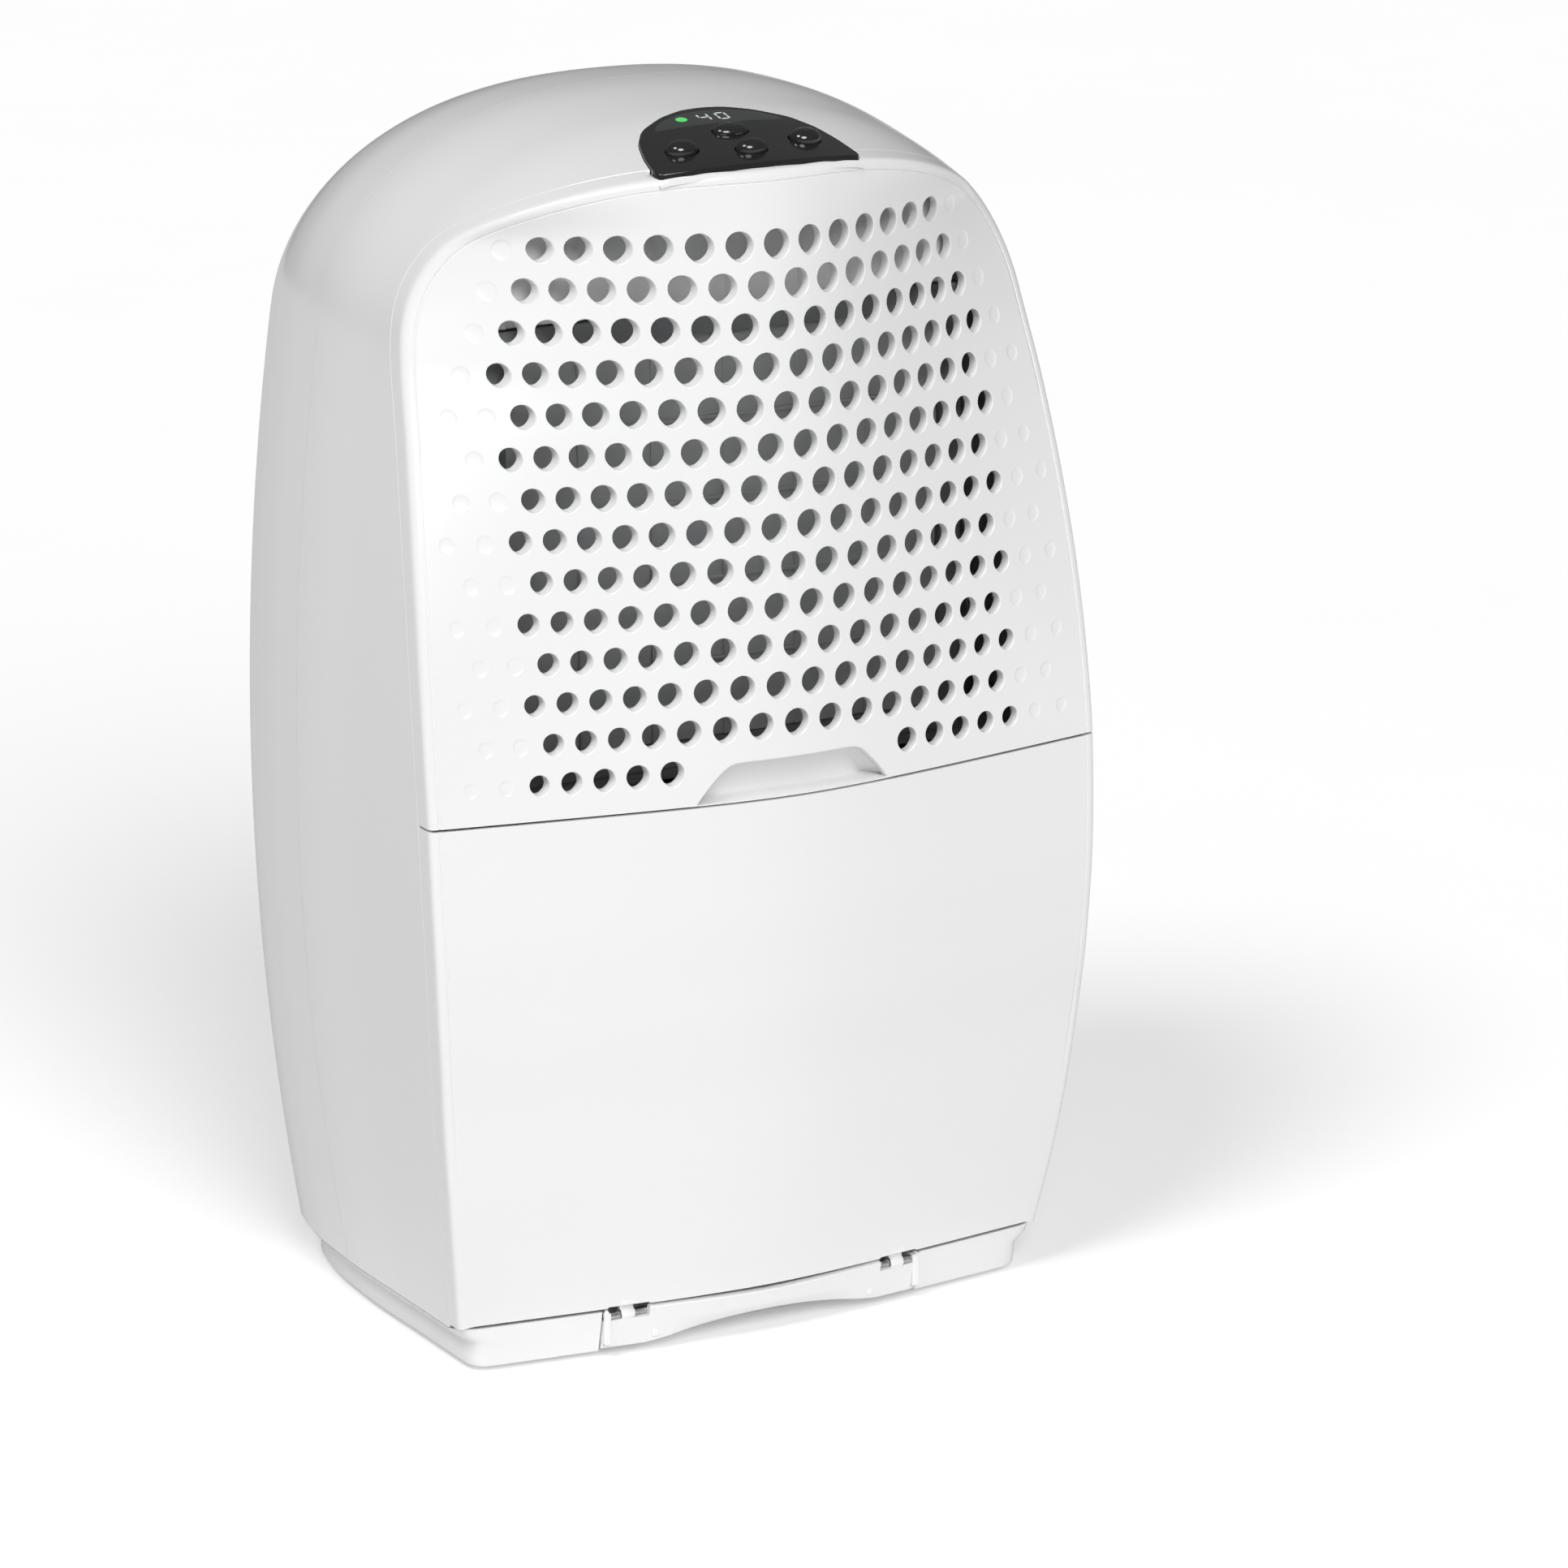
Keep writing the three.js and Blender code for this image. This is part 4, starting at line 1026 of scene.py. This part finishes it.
# %% Upper baffle
def baffle_rule(u, v):
    z = 449.0 + 50.0 * v
    x = (2 * u - 1) * (111 - 16 * v ** 2)
    rib = 1.4 * np.exp(-(((x + 17.25) % 34.5 - 17.25) / 1.6) ** 2)
    return np.stack([x, 66.5 - rib - 3.0 * np.clip((v - 0.9) / 0.1, 0, 1), z], -1)


baffle = sheet("upper_baffle", 140, 30, baffle_rule, wall=1.4, outward=to_front)
smooth(baffle, 40)
finished(baffle, white, "white_plastic", "cabinet")

# %% [markdown]
# ## Tank door
# The door is a plain, gently bowed panel, so its rim and the evenness of its surface are
# all there is to see. One grid does it: the columns beside each flank follow the edge
# walk, and the rest run straight across.

# %% Tank door
DOOR_FOOT = 19.9
SLOT_SPOTS = [(-76, -57), (57, 76)]
door_low, door_high = share_at(DOOR_FOOT), share_at(door_head)
ACROSS = 90


def door_rule(u, v):
    columns = ACROSS + 2 * len(EDGE_WALK)
    column = np.rint(u * columns).astype(int)
    share = door_low + (door_high - door_low) * v
    border = on_front(share, INNER_RIM)
    part = np.clip((column - len(EDGE_WALK)) / ACROSS, 0, 1)
    x = border[:, 0] * (1 - 2 * part)
    spots = np.stack([x, front_depth(x, border[:, 2]), border[:, 2]], -1)
    for k in range(len(EDGE_WALK)):
        kind, value = EDGE_WALK[k]
        for side, row in ((1, column == k), (-1, column == columns - k)):
            edge = edge_spot(share[row], k)
            if kind == "groove":
                edge[:, 1] -= 0.4 * np.clip((175 - edge[:, 2]) / 90, 0, 1)
            spots[row] = edge * [side, 1, 1]
    spots[:, 2] = np.clip(spots[:, 2], DOOR_FOOT, door_head)
    return spots


door = sheet("door_panel", ACROSS + 2 * len(EDGE_WALK), 90, door_rule, outward=to_front,
             even=False)


def slot_tools():
    """The cutters of the slots that show the hinge pins, in the door and the toe bar."""
    return join("slot tools", [block("slot tool", (a, 0, 15), (b, 60, 21.6))
                               for a, b in SLOT_SPOTS])


cut(door, slot_tools())
smooth(door, 40)
keep_sheen(door, front_skin, margin=RIM + 1.6)


def hook(side):
    """The arm and eye that hang the door on its pin."""
    middle = side * 66.5
    eye = to_scene([middle, 33.5, 16.6])
    bpy.ops.object.select_all(action="DESELECT")
    bpy.ops.mesh.primitive_torus_add(location=tuple(eye), rotation=(0, math.pi / 2, 0),
                                     major_radius=0.00245, minor_radius=0.0005,
                                     major_segments=32, minor_segments=10)
    ring = named("hook eye")
    bpy.ops.object.transform_apply(location=True, rotation=True, scale=True)
    spots = places(ring)
    spots[:, 0] = (spots[:, 0] - eye[0]) * 6.6 + eye[0]
    settle(ring, spots)
    arm = block("hook arm", (middle - 3.3, 32.7, 18.6), (middle + 3.3, 36.3, 24.4))
    apply_modifier(arm, "BEVEL", width=0.0006, segments=3)
    rib = block("hook rib", (middle - 3.3, 29.5, 21.8), (middle + 3.3, 36.3, 24.4))
    apply_modifier(rib, "BEVEL", width=0.0006, segments=3)
    return [ring, arm, rib]


door = join("door_panel", [door] + hook(-1) + hook(1))
finished(door, white, "white_plastic", "tank_unit", "tank_door")

# %% [markdown]
# ## Base tray and toe bar
# The cabinet stands on a plinth that is set in under the sides but runs flush with the
# door in front. One strip goes down the plinth, under its edge and across the floor. The
# toe bar is a separate moulding with a scooped lip, so that a foot can hold the base.

# %% Base tray
def plan_loop(z, inset, rear):
    """The plinth's outline at one height, walked once round from the middle of the front."""
    half_foot = -float(on_outline(np.array([0.0]))[0, 0])
    side_depths = np.concatenate([np.linspace(46, 200, 16), [207, 214, 220, 226, 231, 236, 240]])
    half = half_foot * (1 + batten(DEPTHS, SWELLS, side_depths) / HALF_WIDTH) - inset
    depth = side_depths - rear * np.clip((side_depths - 64) / 176, 0, 1)
    x_front = np.linspace(0, 0.985, 24) * half[0]
    front = np.stack([x_front, front_depth(x_front, np.full_like(x_front, z))], 1)
    right = np.concatenate([front, np.stack([half, depth], 1)])
    return rounded_loop(np.concatenate([right, right[:0:-1] * [-1, 1]]), 5, 360)


BASE_ROWS = [(3.4, 9.6), (4.2, 9.4), (11, 9.4), (12.6, 7.6), (15.5, 4.0), (17.1, 2.9), (17.5, 2.3),
             (17.5, 0.9), (17.1, 0.5), (15.5, 1.6), (12.6, 5.2), (11.4, 6.6), (10, 7), (5, 7),
             (1.4, 7), (0.5, 7.3), (0, 8.1)]


def base_body():
    """A tray in one skin: across its floor, up the inside, over the edge and down."""
    loops = [plan_loop(z, inset, inset) for z, inset in BASE_ROWS]
    front_wall = [2.4 if k < 7 else 0 for k in range(len(BASE_ROWS))]
    piece, level, turn = ringed_ball("base_plinth", 360, len(BASE_ROWS))
    step = np.rint(np.degrees(turn)).astype(int) % 360
    spots = np.zeros((len(level), 3))
    for k, (z, _) in enumerate(BASE_ROWS):
        row = level == k + 1
        plan = loops[k][step[row]]
        lift = 1.8 * np.clip((z - 15.5) / 1.6, 0, 1) * np.clip((50 - plan[:, 1]) / 4, 0, 1)
        plan[:, 1] += front_wall[k] * np.clip((70 - plan[:, 1]) / 30, 0, 1)
        spots[row] = np.c_[plan, z + lift]
    spots[level == 0] = (0, 130, BASE_ROWS[0][0])
    spots[level == len(BASE_ROWS) + 1] = (0, 130, 0)
    settle(piece, to_scene(spots))
    return in_edit(piece, lambda: bpy.ops.mesh.normals_make_consistent(inside=False))


base = base_body()
cut(base, block("toe well tool", (-78.4, -20, -5), (78.4, 46, 30)))
smooth(base, 40)
rib = block("toe rib", (-84, 46.4, 1), (84, 49, 17))
apply_modifier(rib, "BEVEL", width=0.0004, segments=2)
base = join("base_plinth", [base, rib])
finished(base, white, "white_plastic", "cabinet", "base_tray")

# %% Toe bar
def toe_rule(u, v):
    x = -77.9 + 155.8 * u
    mid = np.clip(1 - (np.abs(x) / 58) ** 2, 0, 1)
    low = 1.2 + 7.0 * mid ** 1.4
    top = 19.5 - 1.45 * np.clip(1 - np.abs(x) / 74, 0, 1)
    z = low + (top - low) * v
    lip = np.clip((11.5 - z) / 10, 0, 1)
    scoop = 5.0 * lip ** 1.5 * np.clip(1 - (np.abs(x) / 46) ** 2, 0, 1)
    proud = 1.1 * np.clip((78 - np.abs(x)) / 3 + 0.55, 0, 1)
    return np.stack([x, front_depth(x, z) - proud + scoop, z], -1)


toe = sheet("toe_lip", 120, 24, toe_rule, wall=3.2, outward=to_front)
apply_modifier(toe, "BEVEL", width=0.0006, segments=3, limit_method="ANGLE", angle_limit=0.9)
cut(toe, slot_tools())
smooth(toe, 40)
lugs = []
for side in (-1, 1):
    for x in (53, 76.2):
        lug = block("toe lug", (side * x - 1.6, 31.2, 4), (side * x + 1.6, 45, 18.6))
        apply_modifier(lug, "BEVEL", width=0.0006, segments=3)
        lugs.append(lug)
shelf = block("toe shelf", (-72, 38, 8.6), (72, 45, 10.9))
apply_modifier(shelf, "BEVEL", width=0.0005, segments=2)
toe = join("toe_lip", [toe, shelf] + lugs)
finished(toe, white, "white_plastic", "cabinet", "toe_bar")

# %% [markdown]
# ## Control panel
# The panel is a glossy black slab that follows the slope of the crown. Its top stands a
# little proud in front and runs out flush at the rear, so its front edge reads as a
# thick dark line. The buttons are domes that sit in close-fitting wells.

# %% Control panel
def panel_lift(y):
    """How far the panel's face stands above the crown."""
    return 0.5 + 1.3 * np.clip((78 - y) / 50, 0, 1)


def panel_lay(x, y, height):
    y = y + PANEL_MIDDLE[1]
    return np.stack([x, y, crown_height(x, y) + panel_lift(y) + height], 1)


def panel_skin(x, y, z):
    """Distance from the panel's face, and its normal."""
    def face(a, b):
        return crown_height(a, b) + panel_lift(b)
    run = face(x + 0.5, y) - face(x - 0.5, y)
    rise = face(x, y + 0.5) - face(x, y - 0.5)
    normal = np.stack([-run, -rise, np.ones_like(run)], 1)
    return z - face(x, y), normal / np.linalg.norm(normal, axis=1)[:, None]


panel = stacked("control_panel", panel_edge,
                [(-0.8, 0), (-0.6, 0), (-0.4, 0), (-0.2, 0), (-0.06, 0), (-0.012, 0),
                 (-0.004, -0.12), (0, -0.45), (0, -4.2), (-0.05, -4.4), (-0.4, -4.4)],
                panel_lay, 160)
BUTTONS = {"button_power": (-29, 48, 7, 5.5), "button_fan_speed": (29, 48, 7, 5.5),
           "button_humidity": (0, 60, 8, 5), "button_timer": (0, 41, 7, 5)}
SLOPE = math.atan(12 / 52)


def button_lay(spot):
    """Places a button's rings square to the slope of the panel."""
    def lay(x, y, height):
        base = float(crown_height(0.0, spot[1]) + panel_lift(spot[1]))
        drop = float(crown_height(abs(spot[0]), spot[1]) - crown_height(0.0, spot[1]))
        return np.stack([spot[0] + x, spot[1] + y * math.cos(SLOPE) - height * math.sin(SLOPE),
                         base + drop + y * math.sin(SLOPE) + height * math.cos(SLOPE)], 1)
    return lay


def oval(rx, ry):
    return lambda turn: np.stack([rx * np.cos(turn), ry * np.sin(turn)], 1)


wells = [stacked("well", oval(rx + 0.35, ry + 0.35), [(0.05, 3), (0.05, 0.3), (0, -0.4), (0, -7)],
                 button_lay((x, y)), 48) for x, y, rx, ry in BUTTONS.values()]
cut(panel, join("wells", wells))
smooth(panel, 35)
keep_sheen(panel, panel_skin)
finished(panel, black, "black_gloss", "cabinet", "control_fascia")

# %% Buttons
DOME = [(0.0, -5.0), (0.0, -0.2), (-0.02, 0.7), (-0.08, 1.4), (-0.2, 2.0), (-0.4, 2.5),
        (-0.62, 2.75), (-0.82, 2.86)]
for name, (x, y, rx, ry) in BUTTONS.items():
    tall = 1.1 if name == "button_humidity" else 1.6
    rings = [(grow, h * tall if h > 0 else h) for grow, h in DOME][::-1]
    cap = stacked(name + "_cap", oval(rx, ry), rings, button_lay((x, y)), 56)
    smooth(cap, 60)
    finished(cap, black, "black_gloss", name + "_body", name)

# %% [markdown]
# ## Display
# Behind the panel's rear edge lies a strip of smoked glass over a small display. The
# digits are thin bars that glow a little, as segments do behind dark glass.

# %% Display window
WINDOW = [(-31, 69), (0, 69), (31, 69), (28.5, 73), (22, 78.5), (11, 82.6), (0, 83.4)]
WINDOW += [(-x, y) for x, y in WINDOW[-2:2:-1]]
window_loop = rounded_loop(WINDOW, 3, 120) - [0, 75]
window_edge = loop_edge(window_loop, (0, 0))


def window_lay(x, y, height):
    y = y + 75
    return np.stack([x, y, crown_height(x, y) + panel_lift(y) + height], 1)


window = stacked("display_strip", window_edge,
                 [(-0.7, 0.12), (-0.4, 0.12), (-0.15, 0.12), (-0.02, 0.12), (0, 0.05), (0, -0.05),
                  (-0.1, -0.4)], window_lay, 100)
smooth(window, 40)
finished(window, glass, "display_glass", "cabinet", "display_window")

# %% Lit segments
glow = finish_of("pale segments", (0.55, 0.6, 0.6), 0.3, bump=0.02,
                 Emission_Color=(0.8, 0.86, 0.85, 1), Emission_Strength=0.32)
green = finish_of("green lamp", (0.05, 0.4, 0.1), 0.3, bump=0.02,
                  Emission_Color=(0.15, 0.8, 0.2, 1), Emission_Strength=0.5)
SEGMENTS = {"a": (0, 1, 1), "b": (1, 0.5, 0), "c": (1, -0.5, 0), "d": (0, -1, 1),
            "e": (-1, -0.5, 0), "f": (-1, 0.5, 0), "g": (0, 0, 1)}
DIGITS = {"4": "bcfg", "0": "abcdef"}


def bar(x, y, half_x, half_y):
    """A lit bar just over the glass, with softened ends."""
    def lay(dx, dy, height):
        return np.stack([x + dx, y + dy, crown_height(x + dx, y + dy)
                         + panel_lift(y + dy) + 0.16 + height], 1)
    return stacked("segment", oval(half_x, half_y), [(-0.5, 0.05), (0, 0.03), (0, -0.05)], lay, 12)


bars = []
for digit, middle in (("4", -4.0), ("0", 4.5)):
    for key in DIGITS[digit]:
        dx, dy, level = SEGMENTS[key]
        across, tall = (1.7, 0.42) if level else (0.42, 1.5)
        bars.append(bar(middle + dx * 2.2, 76.2 + dy * 3.3, across, tall))
digits = join("display_digits", bars)
finished(digits, glow, "display_glass", "cabinet")
lamp = join("display_lamp", [bar(-14.5, 76.5, 2.6, 2.4)])
finished(lamp, green, "display_glass", "cabinet")

# %% [markdown]
# ## Rear fittings
# The air outlet is a louvred grille whose blades lean down, so that nothing can be seen
# or dropped straight through. The carrying recess is a deep cup. Its outline's points
# bunch at the corners, so its long walls bulge a little past the opening.
# Small turned parts, such as screws, feet and the cord gland, are each drawn as a
# profile and closed like a ball, which gives them real edges instead of plain discs.

# %% Outlet grille
def outlet():
    bars = []
    frame_bars = [((-67.6, 284.4), (67.6, 288.6)), ((-67.6, 411.4), (67.6, 415.6)),
                  ((-67.6, 284.4), (-63.4, 415.6)), ((63.4, 284.4), (67.6, 415.6)),
                  ((-1.6, 284.4), (1.6, 415.6))]
    for (x0, z0), (x1, z1) in frame_bars:
        bars.append(block("outlet frame", (x0, 235.2, z0), (x1, 239.6, z1)))
    for k in range(13):
        z = 293.5 + 9.4 * k
        blade = block("outlet blade", (-64, 234.2, z - 0.8), (64, 239.2, z + 0.8))
        spots = places(blade)
        spots[:, 2] -= (spots[:, 1] - to_scene([0, 236.5, 0])[1]) * 0.8
        bars.append(settle(blade, spots))
    for bar_piece in bars:
        apply_modifier(bar_piece, "BEVEL", width=0.0005, segments=3)
    return join("outlet_louvre", bars)


louvre = smooth(outlet(), 40)
finished(louvre, white, "white_plastic", "cabinet", "outlet_grille")

# %% Carrying recess
def hand_loop(half_x, half_z, corner):
    turn = np.linspace(0, 2 * np.pi, 200, endpoint=False)
    x = half_x * np.sign(np.cos(turn)) * np.abs(np.cos(turn)) ** (2 / corner)
    z = half_z * np.sign(np.sin(turn)) * np.abs(np.sin(turn)) ** (2 / corner)
    return loop_edge(np.stack([x, z], 1), (0, 0))


def rear_lay(x0, z0):
    """Places rings on the back: x and z across it, height out of it."""
    def lay(x, z, height):
        return np.stack([x0 + x, DEPTH + height, z0 + z], 1)
    return lay


CUP = [(-0.5, -23.6), (-0.1, -23.6), (-0.07, -22.6), (-0.055, -20), (-0.05, -4), (-0.045, -1),
       (-0.03, -0.45), (-0.012, -0.5), (-0.01, -1), (-0.012, -6), (-0.02, -24), (-0.1, -25.6),
       (-0.5, -25.6)]
recess = stacked("carry_recess", hand_loop(50, 12, 14), CUP, rear_lay(0, 440), 160)
smooth(recess, 40)
finished(recess, white, "white_plastic", "cabinet", "hand_cup")

# %% Turned parts
def turned(name, radius, profile, lay, sides=40):
    """A turned part: profile rows are (radius, height), closed at both ends."""
    rings = [(r / radius - 1, h) for r, h in profile]
    return smooth(stacked(name, oval(radius, radius), rings, lay, sides), 35)


for number, (x, z) in enumerate(SCREWS, 1):
    screw = turned(f"rear_screw_{number}", 3.7,
                   [(1.0, -0.7), (2.6, -0.75), (3.4, -1.1), (3.7, -1.7), (3.7, -3.1), (1.9, -3.2),
                    (1.7, -4), (1.7, -17), (0.8, -18)], rear_lay(x, z))
    for wide, high in ((2.1, 0.4), (0.4, 2.1)):
        cut(screw, block("drive", (x - wide, 238, z - high), (x + wide, 241, z + high)))
    finished(smooth(screw, 35), steel, "steel", "cabinet", f"cover_screw_{number}")

collar = turned("cord_gland", 7.0,
                [(3.7, -13.5), (3.6, -8), (3.6, -1.6), (4.2, -0.7), (5.2, -0.4), (6.4, -0.6),
                 (7.0, -1.4), (7.0, -5), (9.2, -5.2), (9.4, -6), (9.4, -12), (9.0, -13.4),
                 (5, -13.9)], rear_lay(100, 38), 48)
finished(collar, dark, "black_plastic", "cabinet", "cable_gland")


def foot_lay(x0, y0):
    def lay(x, y, height):
        return np.stack([x0 + x, y0 + y, height], 1)
    return lay


for number, (x, y) in enumerate([(-108, 70), (108, 70), (-108, 205), (108, 205)], 1):
    pad = turned(f"rubber_foot_{number}", 9.0,
                 [(3.5, 6), (4, 5.6), (4, -0.2), (9.2, -0.35), (9.8, -0.7), (9.4, -1.6),
                  (8.9, -2.5), (8.3, -3.0), (6.0, -3.0), (4.8, -2.6), (2, -2.5)], foot_lay(x, y))
    finished(pad, rubber, "rubber", "cabinet", f"foot_{number}")
